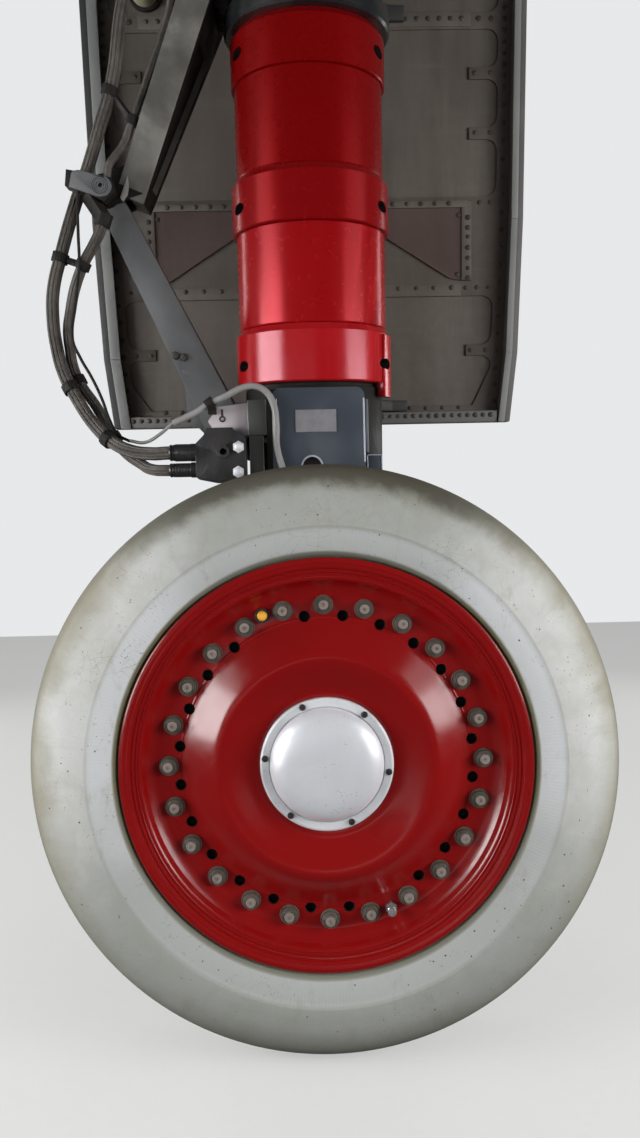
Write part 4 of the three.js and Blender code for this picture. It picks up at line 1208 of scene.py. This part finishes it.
@dataclass
class AxleEnd(SubAssembly):
    """The axle, the brake and the housing that joins them to the strut."""

    def build(self) -> None:
        """Build every piece of the axle end."""
        axle = Bench.turned("axle_tube", [
            (43.0, -78.0), (45.0, -76.0), (45.0, 58.0), (60.0, 66.0), (60.0, 428.0), (58.0, 430.0)], 64)
        self.settle(axle, ON_AXLE, self.paint.bright, "chrome", "axle")
        self.brake()
        # Painted shade: the housing forging is painted near-black, standing for the shade on its sides and barrel;
        # slate facings give its own colour on the lit front
        self.dress_node("axle_housing", "axle_forging", 0.003, self.paint.clamp, "slate")
        self.face_pad()
        self.face_highlights_and_cheek()
        self.dress_node("blank_plate", "blank_tag", 0.0004, self.paint.plate, "plate")
        pad = Bench.turned("jack_ball_pad", [
            (34.0, -92.3), (34.0, -100.0), (31.0, -102.6), (24.0, -106.0), (22.0, -109.0), (22.0, -116.5),
            (20.5, -118.0)], 48)
        self.settle(pad, ON_WHEEL @ at(0, 240, 0), self.paint.steel, "steel", "jack_pad")

    def face_pad(self) -> None:
        """The slate facing on the housing's front, with round top corners, and its strips on the shelves; they give the
        housing its own colour where it is lit, over the forging's painted shade.
        """
        pad = Bench.prism(
            "face_pad", [(-66.5, 345.0), (-66.5, 520.0), (74.6, 520.0), (74.6, 345.0)], -150.6, -149.3,
            {1: 13.0, 2: 13.0})
        arch = [around(14.6, 180 - 15 * step) for step in range(13)] + [(14.6, -40.0), (-14.6, -40.0)]
        Bench.carve(pad, Bench.place(Bench.prism("arch", arch, -160.0, -140.0), at(-7.0, 400.0, 0)))
        pieces = [pad]
        for low, high in ((-95.0, -77.0), (80.5, 98.5)):
            pieces.append(Bench.prism(
                "shelf_pad", [(low, 345.0), (low, 416.5), (high, 416.5), (high, 345.0)], -166.6, -165.4))
        facing = Bench.join("housing_facing", pieces)
        self.settle(facing, ON_WHEEL @ OUTWARDS, self.paint.slate, "slate", edges=0.5)

    def face_highlights_and_cheek(self) -> None:
        """Painted highlights, partly edge wear: pale beads along the housing's front edges and the rim of its arched
        hollow; and its cheek strip.
        """
        beads = []
        for x, y, low, high, radius in (
                (-64.6, 150.0, 436.0, 508.0, 1.5), (-59.8, 150.0, 440.0, 504.0, 1.2), (73.4, 150.0, 405.0, 503.0, 1.5),
                (100.6, 166.0, 386.0, 417.0, 1.2), (78.6, 166.0, 386.0, 417.0, 1.0)):
            bead = Bench.rod("bead", radius, low, high, 14, 0.6)
            beads.append(Bench.place(bead, at(x, y, 0)))
        bead = Bench.rod("bead", 1.0, 79.0, 100.6, 14, 0.6)
        beads.append(Bench.place(bead, at(0, 166.0, 417.4) @ ALONG_X))
        for x in (-98.5, -75.0):
            beads.append(Bench.tube("bead", [
                (x, 166.2, 439.0), (x + 1.0, 166.2, 425.0), (x + 5.0, 166.2, 404.0), (x + 7.0, 166.2, 386.0)], 1.1))
        arch = [around(14.4, 180 - 15 * step) for step in range(13)] + [(14.4, -21.0), (17.2, -21.0)]
        arch += [around(17.2, 15 * step) for step in range(13)] + [(-17.2, -21.0), (-14.4, -21.0)]
        rim = Bench.prism("arch_rim", arch, 0.0, 2.2)
        Bench.broken_edges(rim, 0.7)
        beads.append(Bench.place(rim, at(-7.0, 150.4, 400.0) @ OUTWARDS))
        edge_wear_and_highlight = Bench.join("housing_edge_highlights", beads)
        self.settle(edge_wear_and_highlight, ON_WHEEL, self.paint.edge_wear_and_highlight, "slate")
        cheek = Bench.prism("cheek_strip", [
            (74.6, 152.0), (77.6, 152.3), (80.6, 156.0), (80.6, 182.0), (74.6, 182.0)], 420.0, 502.0)
        self.settle(cheek, ON_WHEEL, self.paint.slate, "slate", edges=1.2)

    def brake(self) -> None:
        """The brake housing with its piston bosses, and the disc stack."""
        self.dress_node("brake_housing", "brake_body", 0.0025, self.paint.slate, "slate")
        outline = [(108.3, -34.0), (180.0, -34.0)]
        for index in range(6):
            low = -30 + index * 18
            outline += [(191.5, low), (191.5, low + 11), (184.0, low + 12), (184.0, low + 17)]
        outline += [(180.0, 86.0), (108.3, 86.0)]
        stack = Bench.turned("brake_discs", outline, 96, ring=True)
        self.settle(stack, ON_AXLE, self.paint.steel, "steel", "brake_stack")


@dataclass(frozen=True)
class Collar:
    """One ring of the strut: its node, heights and radius, and the height of its spanner holes."""

    node: str
    low: float
    high: float
    radius: float
    hole: float


@dataclass
class ShockStrut(SubAssembly):
    """The strut from the axle housing up to the trunnion."""

    piston: float = 70.0
    bore: float = 70.3
    trunnion_height: float = 1640.0
    trunnion_end: float = 190.0
    collars: tuple[Collar, ...] = (
        Collar("collar_lower", 546.5, 633.5, 125.5, 576.0),
        Collar("sleeve_lower", 633.8, 781.5, 119.0, 0.0),
        Collar("collar_middle", 781.8, 865.0, 125.5, 815.0),
        Collar("sleeve_upper", 865.3, 1004.0, 117.0, 0.0),
        Collar("collar_upper", 1004.3, 1081.5, 121.5, 1042.0),
    )

    def build(self) -> None:
        """Build every piece of the strut."""
        for collar in self.collars:
            self.collar(collar)
        # Painted shade: a matte black ring fills the shaded band between the housing and the lowest collar
        shade_band = Bench.turned("shade_band_ring", [
            (70.3, 540.2), (107.0, 540.2), (108.0, 541.2), (108.0, 545.3), (107.0, 546.3), (70.3, 546.3)], 96,
            ring=True)
        self.settle(shade_band, ON_STRUT, self.paint.clamp, "black")
        piston = Bench.rod("piston_tube", self.piston, 500.3, 1180.0, 96, 1.5)
        self.settle(piston, ON_STRUT, self.paint.bright, "chrome", "piston")
        gland = Bench.turned("gland_nut", [
            (70.3, 1081.8), (124.0, 1081.8), (127.0, 1082.6), (130.0, 1086.0), (130.0, 1111.0), (128.5, 1114.0),
            (126.0, 1116.0), (70.3, 1116.0)], 128, ring=True)
        self.settle(gland, ON_STRUT, self.paint.black, "black", "gland_ring")
        self.dress_node("outer_cylinder", "cylinder_forging", 0.003, self.paint.black, "black")
        trunnion = Bench.rod("trunnion_shaft", 46.0, -self.trunnion_end, self.trunnion_end, 64, 2.0)
        self.settle(trunnion, ON_STRUT @ at(0, 0, self.trunnion_height) @ ALONG_X, self.paint.bright, "chrome",
                    "trunnion_beam")

    def collar(self, collar: Collar) -> None:
        """One collar or sleeve, with its shoulder and its spanner holes, whose walls carry painted shade.

        Args:
            collar: Its sizes.
        """
        edge, low, high = collar.radius, collar.low, collar.high
        if collar.hole:
            top = [(edge, high - 10.5), (edge - 0.6, high - 9.6), (edge - 6.6, high - 2.2), (edge - 7.2, high - 0.6),
                   (edge - 8.0, high)]
        else:
            top = [(edge, high - 1.4), (edge - 1.2, high)]
        outline = [
            (self.bore, low), (edge - 2.6, low), (edge - 1.2, low + 0.6), (edge, low + 2.4), *top, (self.bore, high)]
        piece = Bench.turned(f"{collar.node}_ring", outline, 160, ring=True)
        if collar.node == "collar_lower":
            Bench.weld(piece, self.locking_strip())
        if collar.hole:
            cutter = Bench.rod("spanner", 8.4, edge - 26, edge + 8, 28, 0.01)
            places = []
            for turn in (-27.0, -153.0, 27.0, 153.0):
                swing = Matrix.Rotation(math.radians(turn), 4, "Z")
                places.append(at(0, 0, collar.hole) @ swing @ ALONG_X @ Matrix.Diagonal((1.0, 2.0, 1.0, 1.0)))
            Bench.carve(piece, Bench.copies(cutter, "spanners", places))
        self.settle(piece, ON_STRUT, self.paint.strut_reds_shaded_by_height[collar.node], "red", collar.node, 24)
        if collar.hole:
            # Painted shade: the walls inside the spanner holes are painted black
            Bench.two_tone(piece, self.paint.black, lambda centre, normal: self.in_spanner_hole(centre, collar))

    def in_spanner_hole(self, centre: Vector, collar: Collar) -> bool:
        """Whether a face lies inside one of a collar's spanner holes."""
        place = ON_STRUT.inverted() @ centre
        reach = math.hypot(place.x, place.y)
        return self.bore + 5.0 < reach < collar.radius - 1.0 and abs(place.z - collar.hole) < 8.2

    def locking_strip(self) -> Piece:
        """The strip up the lowest collar's right side, which reaches down past the housing's barrel."""
        arc = [around(129.0, -15.0 - 2.0 * step) for step in range(9)]
        arc += [around(116.0, -31.0 + 2.0 * step) for step in range(9)]
        strip = Bench.prism("locking_strip", arc, 525.0, 622.0)
        Bench.broken_edges(strip, 1.4)
        return strip


@dataclass
class TorqueLinks(SubAssembly):
    """The two torque links, their pins and the block at the knee."""

    knee_x: float = -323.0
    knee_z: float = 853.0

    def build(self) -> None:
        """Build the links from their CAD nodes, with broken edges."""
        self.dress_node("lower_torque_link", "link_lower", 0.002, self.paint.lower_link, "link_grey")
        upper = self.dress_node("upper_torque_link", "link_upper", 0.002, self.paint.link, "link_grey")
        # Painted shade: the upper link's side and the faces about its knee boss are painted near-black
        Bench.two_tone(upper, self.paint.shade, self.in_painted_shade)
        for node, name in (("upper_link_pin", "upper_bolt"), ("lower_link_pin", "lower_bolt")):
            self.dress_node(node, name, 0.001, self.paint.steel, "steel")
        self.knee()
        self.link_bolts()

    def in_painted_shade(self, centre: Vector, normal: Vector) -> bool:
        """Whether a face of the upper link gets painted shade: faces on its side turned towards +X and faces about its
        knee boss do.
        """
        place = ON_STRUT.inverted() @ centre
        knee_side = math.hypot(place.x - self.knee_x, place.z - self.knee_z) < 27.0
        return knee_side or (normal.x > 0.15 and normal.y > -0.97)

    def knee(self) -> None:
        """The block on the knee bolt's end with its black arm, the bolt's face and the ear beside it, which is painted
        pale as a painted highlight.
        """
        outline = [(-371.0, 851.0), (-366.0, 874.5), (-355.0, 876.0), (-312.0, 864.8), (-304.6, 856.0), (-305.0, 845.5),
                   (-313.0, 836.8), (-327.0, 835.2), (-348.0, 843.0)]
        rounds = {1: 5.0, 3: 4.0, 4: 5.0, 5: 5.0, 6: 4.0, 7: 5.0}
        block = Bench.prism("knee_end_block", outline, 35.4, 60.6, rounds)
        Bench.carve(block, Bench.place(Bench.rod("bore", 12.3, 30.0, 70.0, 40, 0.01), at(self.knee_x, self.knee_z, 0)))
        self.settle(block, ON_STRUT @ OUTWARDS, self.paint.lower_link, "link_grey", edges=1.2)
        self.dress_node("knee_block", "knee_clamp_block", 0.002, self.paint.clamp, "link_grey")
        bolt = Bench.turned("knee_bolt", [
            (12.0, -42.0), (12.0, 60.0), (11.3, 61.0), (10.0, 61.0), (9.6, 60.2), (8.9, 60.2), (8.5, 61.2),
            (6.6, 61.2), (6.2, 60.4), (5.6, 60.4), (5.2, 61.4), (3.7, 61.4), (3.3, 60.6), (3.2, 52.0)], 40)
        self.settle(
            bolt, ON_STRUT @ at(self.knee_x, 0, self.knee_z) @ OUTWARDS, self.paint.lower_link, "steel", "knee_pin")
        # Painted highlight: the ear, a prong of the upper link's fork, is painted pale grey
        leaf = [(-284.6, 873.2), (-282.8, 858.0), (-286.0, 844.0), (-294.0, 834.6), (-297.4, 841.0), (-292.0, 855.0)]
        ear = Bench.prism("knee_ear", leaf, 32.0, 37.4, {1: 6.0, 5: 6.0})
        self.settle(ear, ON_STRUT @ OUTWARDS, self.paint.conduit, "steel", edges=0.5)

    def link_bolts(self) -> None:
        """The two small bolts at the lower link's edge, above its flare."""
        head = Bench.turned("head", [(6.6, 0.0), (6.6, 3.0), (5.4, 4.4), (2.0, 5.0)], 6)
        places = [at(-207.5, -38.4, 594.0) @ OUTWARDS, at(-221.0, -38.0, 597.0) @ OUTWARDS]
        self.settle(Bench.copies(head, "lower_link_bolts", places), ON_STRUT, self.paint.screw, "steel")


@dataclass(frozen=True)
class Line:
    """One brake line: its CAD node, route on the strut, radius and ribs."""

    node: str
    route: tuple[Point3, ...]
    radius: float
    ribs: int


@dataclass
class BrakeLines(SubAssembly):
    """The hoses and conduit, their clamps, and the brackets and manifold beside the housing."""

    lines: tuple[Line, ...] = (
        Line("hose_main", (
            (-136, -38, 1440), (-136, -38, 1424), (-160, -41, 1390), (-197, -44, 1330),
            (-228, -45, 1255), (-255, -45, 1190), (-278, -44, 1126), (-302, -38, 1010),
            (-326, -31, 946), (-351, -24, 883), (-369, -24, 840), (-395, -34, 756), (-409, -38, 702),
            (-411, -42, 657), (-406, -48, 613), (-395, -56, 571), (-377, -66, 536), (-341, -90, 485),
            (-314, -106, 461), (-285, -122, 447), (-244, -145, 441), (-226, -148, 441.6),
            (-212, -148, 441.6)), 10.0, 9),
        Line("hose_inner", (
            (-322, -48, 806), (-327, -48, 792), (-341, -47, 766), (-357, -45, 741), (-375, -40, 702),
            (-384, -36, 670), (-390, -34, 640), (-389, -33, 609), (-385, -36, 584), (-374, -42, 557),
            (-346, -56, 517), (-325, -66, 480), (-302, -82, 448), (-272, -104, 427), (-246, -140, 417),
            (-226, -150.9, 415.8), (-212, -150.9, 415.8)), 8.5, 8),
        Line("hose_upper", (
            (-122, -74, 1400), (-122, -74, 1386), (-140, -78, 1340), (-174, -76, 1265),
            (-197, -70, 1205), (-200, -58, 1150), (-209, -46, 1107), (-225, -38, 1070),
            (-241, -36, 1032), (-254, -36, 1000), (-265.5, -36, 972.6), (-275.6, -38, 948),
            (-288, -41, 918), (-302, -46, 898), (-310.6, -50, 883.5), (-313.9, -50, 865.8)), 6.0, 5),
    )
    # The thin cable tied to the hoses, from the knee block to the conduit's left end
    cable_route: tuple[Point3, ...] = (
        (-358, -52, 852), (-360, -56, 824), (-361, -57, 780), (-362, -56, 739), (-370, -56, 685), (-378, -58, 623),
        (-367, -60, 594), (-349, -66, 562), (-333, -74, 528), (-321, -82, 495), (-307, -92, 472), (-289, -99, 462))
    conduit_route: tuple[Point3, ...] = (
        (-288, 176, 448), (-263, 168, 444), (-238, 162, 456), (-218, 158, 471), (-180, 152, 487),
        (-160, 146, 498), (-134, 140, 508), (-110, 138, 519), (-92, 138, 521), (-75, 138, 513),
        (-64, 139, 494), (-60, 140, 463), (-60, 140, 430), (-50, 138, 391), (-30, 128, 330),
        (-8, 116, 260), (0, 112, 190), (0, 112, 162.5))

    def build(self) -> None:
        """Build the lines, then what holds them."""
        for line in self.lines:
            piece = Bench.tube(f"{line.node}_cover", list(line.route), line.radius, line.ribs, 0.17 * line.radius)
            self.settle(piece, ON_STRUT, self.paint.hose, "hose", line.node, 50)
        thick = Bench.tube("conduit_tube", list(self.conduit_route[3:]), 5.0)
        thin = Bench.tube("conduit_tail", list(self.conduit_route[:5]), 2.6)
        conduit = Bench.join("conduit_tube", [thick, thin])
        self.settle(conduit, ON_WHEEL, self.paint.conduit, "link_grey", "brake_conduit", 50)
        cable = Bench.tube("thin_cable", list(self.cable_route), 2.4)
        self.settle(cable, ON_STRUT, self.paint.clamp, "hose", "", 50)
        for node in ("hose_clamp_upper", "hose_clamp_middle", "hose_clamp_lower", "hose_clamp_foot", "conduit_clip"):
            self.dress_node(node, f"{node}_band", 0.0008, self.paint.clamp, "black")
        self.brackets()

    def brackets(self) -> None:
        """The box bracket, the triangular plate and the oily manifold with its hex caps."""
        box = self.dress_node("box_bracket", "bracket_box", 0.0022, self.paint.box_grey, "link_grey")
        # Painted highlight, partly edge wear: the box's slanted front facets get the pale grey
        Bench.two_tone(box, self.paint.edge_wear_and_highlight, lambda centre, normal: 0.3 < abs(normal.x) < 0.9 and normal.y < -0.3)
        self.dress_node("triangle_plate", "bracket_plate", 0.0012, self.paint.gusset, "link_grey")
        pin = Bench.rod("pin", 1.6, 480.0, 492.0, 12, 0.5)
        washer = Bench.place(Bench.rod("washer", 5.0, 0.0, 2.0, 24, 0.6, bore=2.6), at(0, 0, 477.0) @ OUTWARDS)
        tag = Bench.join("gusset_pin", [pin, washer])
        self.settle(tag, ON_WHEEL @ at(-143.5, 166.2, 0), self.paint.screw, "steel")
        manifold = Bench.from_node("brake_manifold", "manifold_block", 0.002)
        Bench.carve(manifold, Bench.place(
            Bench.rod("port", 5.0, -50.0, 50.0, 24, 0.01), ON_WHEEL @ at(-139.0, 100.0, 420.5) @ OUTWARDS))
        self.dress(manifold, self.paint.oily, "black")
        for node, x, z in (("manifold_cap_upper", -116.0, 427.0), ("manifold_cap_lower", -117.0, 390.0)):
            cap = Bench.turned(f"{node}_hex", [(8.4, 0.3), (9.0, 1.0), (9.0, 6.4), (8.2, 7.6), (6.6, 8.0)], 6)
            dome = Bench.turned("dome", [(6.2, 7.0), (6.2, 8.6), (5.2, 10.4), (3.0, 11.6), (0.6, 11.9)], 24)
            hexagon = Bench.join(f"{node}_hex", [cap, dome])
            self.settle(hexagon, ON_WHEEL @ at(x, 118, z) @ OUTWARDS, self.paint.ring_silver, "cap_silver", node)
        self.fittings()

    def fittings(self) -> None:
        """The ribbed fittings that crimp the hoses' ends into the manifold."""
        ribs = [(11.0, 0.0)]
        for index in range(7):
            low = 1.0 + index * 4.2
            ribs += [(12.2, low + 0.4), (12.2, low + 2.6), (10.9, low + 3.2)]
        ribs += [(10.9, 31.0), (13.4, 32.0), (13.4, 40.0), (11.5, 41.0)]
        model = Bench.turned("fitting", ribs, 24)
        places = [at(-220.0, 130.0, 422.0) @ ALONG_X, at(-220.0, 130.0, 396.0) @ ALONG_X @ widened(0.86)]
        self.settle(Bench.copies(model, "hose_fittings", places), ON_WHEEL, self.paint.oily, "black")


@dataclass
class LegDoor(SubAssembly):
    """The door behind the strut: skin, edge beams, scalloped doubler, stiffeners and rivets."""

    doubler_front: float = 220.3
    skin_front: float = 224.0
    buffer_x: float = -285.0
    buffer_height: float = 1264.0
    # Height and half width of the door
    edge: tuple[Point2, ...] = ((492.0, 372.0), (620.0, 386.0), (860.0, 395.0), (1500.0, 402.0))
    # Lower and upper edge of each window, the heights of its tabs and whether its lower corners slant
    windows: tuple[tuple[float, float, tuple[float, ...], bool], ...] = (
        (526.0, 728.2, (628.7,), True),
        (907.4, 1199.4, (1019.0, 1123.7), False),
        (1228.0, 1470.0, (1320.0,), False),
    )
    # Height and x of the rivet column at each side
    columns: ClassVar[dict[int, list[Point2]]] = {
        -1: [(532.0, -348.5), (731.5, -358.0), (816.0, -361.5), (1148.0, -363.5), (1480.0, -364.0)],
        1: [(532.0, 347.0), (719.9, 355.0), (900.5, 360.0), (1076.4, 363.0), (1480.0, 364.0)],
    }

    def build(self) -> None:
        """Build every piece of the door."""
        self.dress_node("door_skin", "door_outer_skin", 0.0008, self.paint.door, "door_grey")
        for side in ("left", "right", "bottom", "top"):
            paint = self.paint.dark_beam if side == "left" else self.paint.beam
            self.dress_node(f"door_beam_{side}", f"door_edge_{side}", 0.0025, paint, "door_grey")
        self.flange_highlights()
        self.doubler()
        stiffener = self.dress_node("door_stiffener", "door_cross_stiffener", 0.0012, self.paint.door, "door_grey")
        Bench.two_tone(stiffener, self.paint.pocket, self.in_pocket)
        for side in ("lower", "upper"):
            self.dress_node(f"door_yoke_{side}", f"door_bracket_{side}", 0.002, self.paint.dark_beam, "link_grey")
        self.bumper()
        self.rivets()

    def flange_highlights(self) -> None:
        """The flange along the inner half of each side beam, with its rolled edge, painted paler as a painted highlight
        along the bend.
        """
        strips = []
        for side, outer, inner in ((-1, 13.0, 32.0), (1, 11.0, 23.0)):
            for (low, start), (high, end) in pairwise(self.edge):
                strips.append(Bench.prism("flange", [
                    (side * (start - outer), low), (side * (end - outer), high), (side * (end - inner), high),
                    (side * (start - inner), low)], -196.4, -192.6))
        flange = Bench.join("door_flange_highlights", strips)
        self.settle(flange, ON_STRUT @ OUTWARDS, self.paint.flange, "door_grey", edges=1.2)

    def doubler(self) -> None:
        """The inner sheet, cut out in pockets with round corners that leave a square tab between them."""
        margin = 22.3
        right = [(half - margin, height) for height, half in self.edge]
        right[0] = (right[0][0], self.edge[0][0] + margin)
        right[-1] = (right[-1][0], self.edge[-1][0] - margin)
        outline = right + [(-x, z) for x, z in reversed(right)]
        sheet = Bench.prism("door_inner_doubler", outline, -self.skin_front + 0.3, -self.doubler_front)
        for low, high, tabs, slanted in self.windows:
            tip = 299.0 if low > 800 else 293.0
            Bench.carve(sheet, self.cutter([(-tip, low), (-tip, high), (tip, high), (tip, low)], {}))
            levels = [low, *(level for tab in tabs for level in (tab - 10.5, tab + 10.5)), high]
            for foot, head in zip(levels[::2], levels[1::2]):
                corners = [(self.column(-1, head) + 10.5, head), (self.column(1, head) - 10.5, head)]
                if slanted and foot == low:
                    corners += [(341.0, 598.0), (306.0, foot), (-306.0, foot), (-343.0, 578.0)]
                    rounds = {0: 16.0, 1: 18.0, 2: 14.0, 5: 14.0}
                else:
                    corners += [(self.column(1, foot) - 10.5, foot), (self.column(-1, foot) + 10.5, foot)]
                    rounds = {0: 21.0, 1: 21.0, 2: 21.0, 3: 21.0}
                Bench.carve(sheet, self.cutter(corners, rounds))
        self.settle(sheet, ON_STRUT @ OUTWARDS, self.paint.door, "door_grey", "door_doubler", edges=0.6)
        ends = [(-282.0, 728.6, 282.7, 750.2), (-300.0, 1203.5, 301.6, 1228.0)]
        plates = [Bench.box("strap", (x0, self.doubler_front - 1.7, z0), (x1, self.doubler_front + 0.2, z1))
                  for x0, z0, x1, z1 in ends]
        straps = Bench.join("door_straps", plates)
        self.settle(straps, ON_STRUT, self.paint.door, "door_grey", edges=0.5)

    def cutter(self, corners: list[Point2], rounds: dict[int, float]) -> Piece:
        """A tool that cuts one pocket right through the inner sheet."""
        return Bench.prism("pocket", corners, -self.skin_front - 5.0, -self.doubler_front + 5.0, rounds)

    def column(self, side: int, height: float) -> float:
        """The x of the rivet column at one side of the door, at a height."""
        return between(height, self.columns[side])

    @staticmethod
    def in_pocket(centre: Vector, normal: Vector) -> bool:
        """Whether a face of the stiffener belongs to its sloped pocket panel."""
        place = ON_STRUT.inverted() @ centre
        return normal.y < -0.5 and abs(place.x) < 283.0 and place.z < 885.0

    def bumper(self) -> None:
        """The pale rubber buffer high on the door's left, on its foot plate."""
        dome = Bench.turned("dome", eased([(24.0, 8.0), (24.0, 56.0), (22.0, 64.0), (14.0, 69.0), (4.0, 70.0)], 4), 40)
        foot = Bench.rod("foot", 30.0, 0.2, 8.0, 40, 1.5)
        for piece, paint, slot in ((dome, self.paint.buffer, "plug"), (foot, self.paint.clamp, "black")):
            piece.name = f"door_buffer_{piece.name}"
            self.settle(
                piece, ON_STRUT @ at(self.buffer_x, self.skin_front, self.buffer_height) @ OUTWARDS, paint, slot)

    def rivets(self) -> None:
        """The rows of rivets on the doubler, its tabs, the stiffener and the bottom beam."""
        spots: list[Point3] = []
        front = self.doubler_front
        for side in (-1, 1):
            height = 532.0
            while height < 1470:
                spots.append((self.column(side, height), front, height))
                height += between(height, [(532.0, 31.5), (1070.0, 31.5), (1078.0, 19.5), (1480.0, 19.5)])
            for height, near in ((628.5, 302.0), (1020.0, 310.0), (1124.0, 310.0), (1320.0, 310.0)):
                spots += [(side * near, front, height), (side * (near + 28.0), front, height)]
            for height in (759.6, 777.1, 795.5, 814.2, 833.6, 849.9, 868.2):
                spots.append((side * 295.5, front - 8.3, height))
            spots += [(side * 278.6, front - 5.3, 873.0), (side * 276.0, front - 5.3, 766.7)]
            spots += [(side * x, front, 743.5) for x in (292.7, 313.5, 335.0)]
            spots += [(side * x, front, 896.7) for x in (301.0, 318.7, 338.3)]
            spots += [(side * x, front, 1217.0) for x in (316.4, 339.2)]
        for height, pitch, count, y in (
                (743.5, 33.2, 8, front - 1.7), (893.0, 26.0, 10, front - 10.3), (1217.0, 20.4, 14, front - 1.7),
                (522.0, 31.0, 9, front)):
            spots += [(index * pitch, y, height) for index in range(-count, count + 1)]
        spots += [(index * 14.6, 196.0, 506.0) for index in range(-23, 24)]
        scatter = random.Random(5)
        head = Bench.turned("rivet", [(4.5, 0.0), (4.3, 0.8), (3.2, 1.6), (1.3, 2.0)], 12)
        places = [at(*spot) @ OUTWARDS @ widened(scatter.uniform(0.85, 1.12)) for spot in spots]
        self.settle(Bench.copies(head, "door_rivets", places), ON_STRUT, self.paint.rivet, "door_grey")


@dataclass
class Studio:
    """The camera at the photograph's angle, the pale floor and the soft lights."""

    camera_place: Point3 = (0.1663, -1.33305, -1.37536)
    pitch: float = math.radians(-0.46)
    yaw: float = math.radians(1.06)
    roll: float = math.radians(1.3)
    lens: float = 27.84
    room: Colour = (0.05, 0.0525, 0.058)
    backdrop: Colour = (0.80, 0.81, 0.82)
    floor_height: float = -2.0115
    floor_size: float = 14.0
    # Name, place, the point it looks at, width and height, power, and whether it shows in reflections
    lamps: tuple[tuple[str, Point3, Point3, Point2, float, bool], ...] = (
        ("window_left", (-1.90, -0.82, -1.12), (0.19, -0.1, -1.45), (1.6, 0.95), 50.0, True),
        ("pane_left", (-1.90, -0.82, -0.35), (0.19, -0.1, -1.00), (1.0, 0.6), 5.0, True),
        ("window_right", (2.26, -0.89, -1.12), (0.19, -0.1, -1.45), (1.3, 0.7), 18.0, True),
        ("pane_right", (2.26, -0.89, -0.40), (0.19, -0.1, -1.00), (1.2, 0.6), 3.5, True),
        ("fill_left", (-1.60, -1.70, -1.65), (0.19, -0.1, -1.30), (1.4, 0.6), 21.0, False),
        ("fill_right", (2.20, -1.25, -1.20), (0.19, -0.1, -1.10), (1.5, 0.9), 54.0, False),
        ("fill_front", (0.10, -3.40, -1.85), (0.19, 0.0, -1.60), (2.4, 0.3), 12.0, False),
        ("above_floor", (0.20, 4.20, 1.20), (0.20, 4.20, -2.0), (9.0, 4.5), 30.0, False),
        ("strip_behind", (-1.0, -4.0, -1.2), (0.19, 0.0, -1.5), (3.0, 0.25), 2.5, True),
        ("back_left", (-2.2, 2.2, -0.6), (0.19, 0.0, -1.1), (0.8, 1.8), 26.0, True),
        ("back_right", (2.8, 2.4, -0.6), (0.19, 0.0, -1.1), (0.8, 1.8), 26.0, True),
    )

    def build(self) -> None:
        """Set up the camera, the stage and the lights."""
        self.camera()
        self.floor()
        self.lights()

    def camera(self) -> None:
        """Stand the camera where the photograph was taken from."""
        ahead = Vector((math.sin(self.yaw) * math.cos(self.pitch), math.cos(self.yaw) * math.cos(self.pitch),
                        math.sin(self.pitch)))
        level = Vector((math.cos(self.yaw), -math.sin(self.yaw), 0.0))
        above = level.cross(ahead)
        right = math.cos(self.roll) * level - math.sin(self.roll) * above
        up = math.cos(self.roll) * above + math.sin(self.roll) * level
        data = bpy.data.cameras.new("photo_camera")
        data.lens = self.lens
        data.sensor_width = 36.0
        camera = bpy.data.objects.new("photo_camera", data)
        turn = Matrix((right, up, -ahead)).transposed().to_4x4()
        camera.matrix_world = Matrix.Translation(self.camera_place) @ turn
        bpy.context.scene.collection.objects.link(camera)
        bpy.context.scene.camera = camera

    def floor(self) -> None:
        """Lay a wide pale floor just under the tyre."""
        middle = (WHEEL_CENTRE.x, 0, self.floor_height)
        ground = Bench.begin("studio_floor", bpy.ops.mesh.primitive_plane_add, size=1, location=middle)
        ground.scale = (self.floor_size, self.floor_size, 1)
        bpy.ops.object.transform_apply(location=True, rotation=True, scale=True)
        ground.data.materials.append(FloorPaint().make())
        ground.visible_glossy = False
        ground.visible_diffuse = False

    def lights(self) -> None:
        """Light the room softly: windows at the sides, fills that cast no reflections, and lights at the back."""
        bpy.context.scene.view_settings.view_transform = "Standard"
        world = bpy.data.worlds.new("studio_room")
        world.use_nodes = True
        bpy.context.scene.world = world
        graph = Graph(world.node_tree)
        back = world.node_tree.nodes["Background"]
        seen = graph.node("ShaderNodeLightPath").outputs["Is Camera Ray"]
        graph.feed(back.inputs["Color"], graph.mix(seen, self.room, self.backdrop))
        back.inputs["Strength"].default_value = 1.0
        for name, place, target, size, power, mirrored in self.lamps:
            data = bpy.data.lights.new(name, "AREA")
            data.shape = "RECTANGLE"
            data.size, data.size_y = size
            data.energy = power
            light = bpy.data.objects.new(name, data)
            light.location = place
            light.visible_glossy = mirrored
            light.rotation_euler = (Vector(target) - Vector(place)).to_track_quat("-Z", "Y").to_euler()
            bpy.context.scene.collection.objects.link(light)


def main() -> None:
    """Build the leg's sub-assemblies in order."""
    logging.basicConfig(level=logging.INFO, format="%(message)s")
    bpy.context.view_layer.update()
    paint = Paintshop()
    Studio().build()
    for assembly in (BrakedWheel(paint), AxleEnd(paint), ShockStrut(paint), TorqueLinks(paint), BrakeLines(paint),
                     LegDoor(paint)):
        assembly.build()


if __name__ == "__main__":
    main()
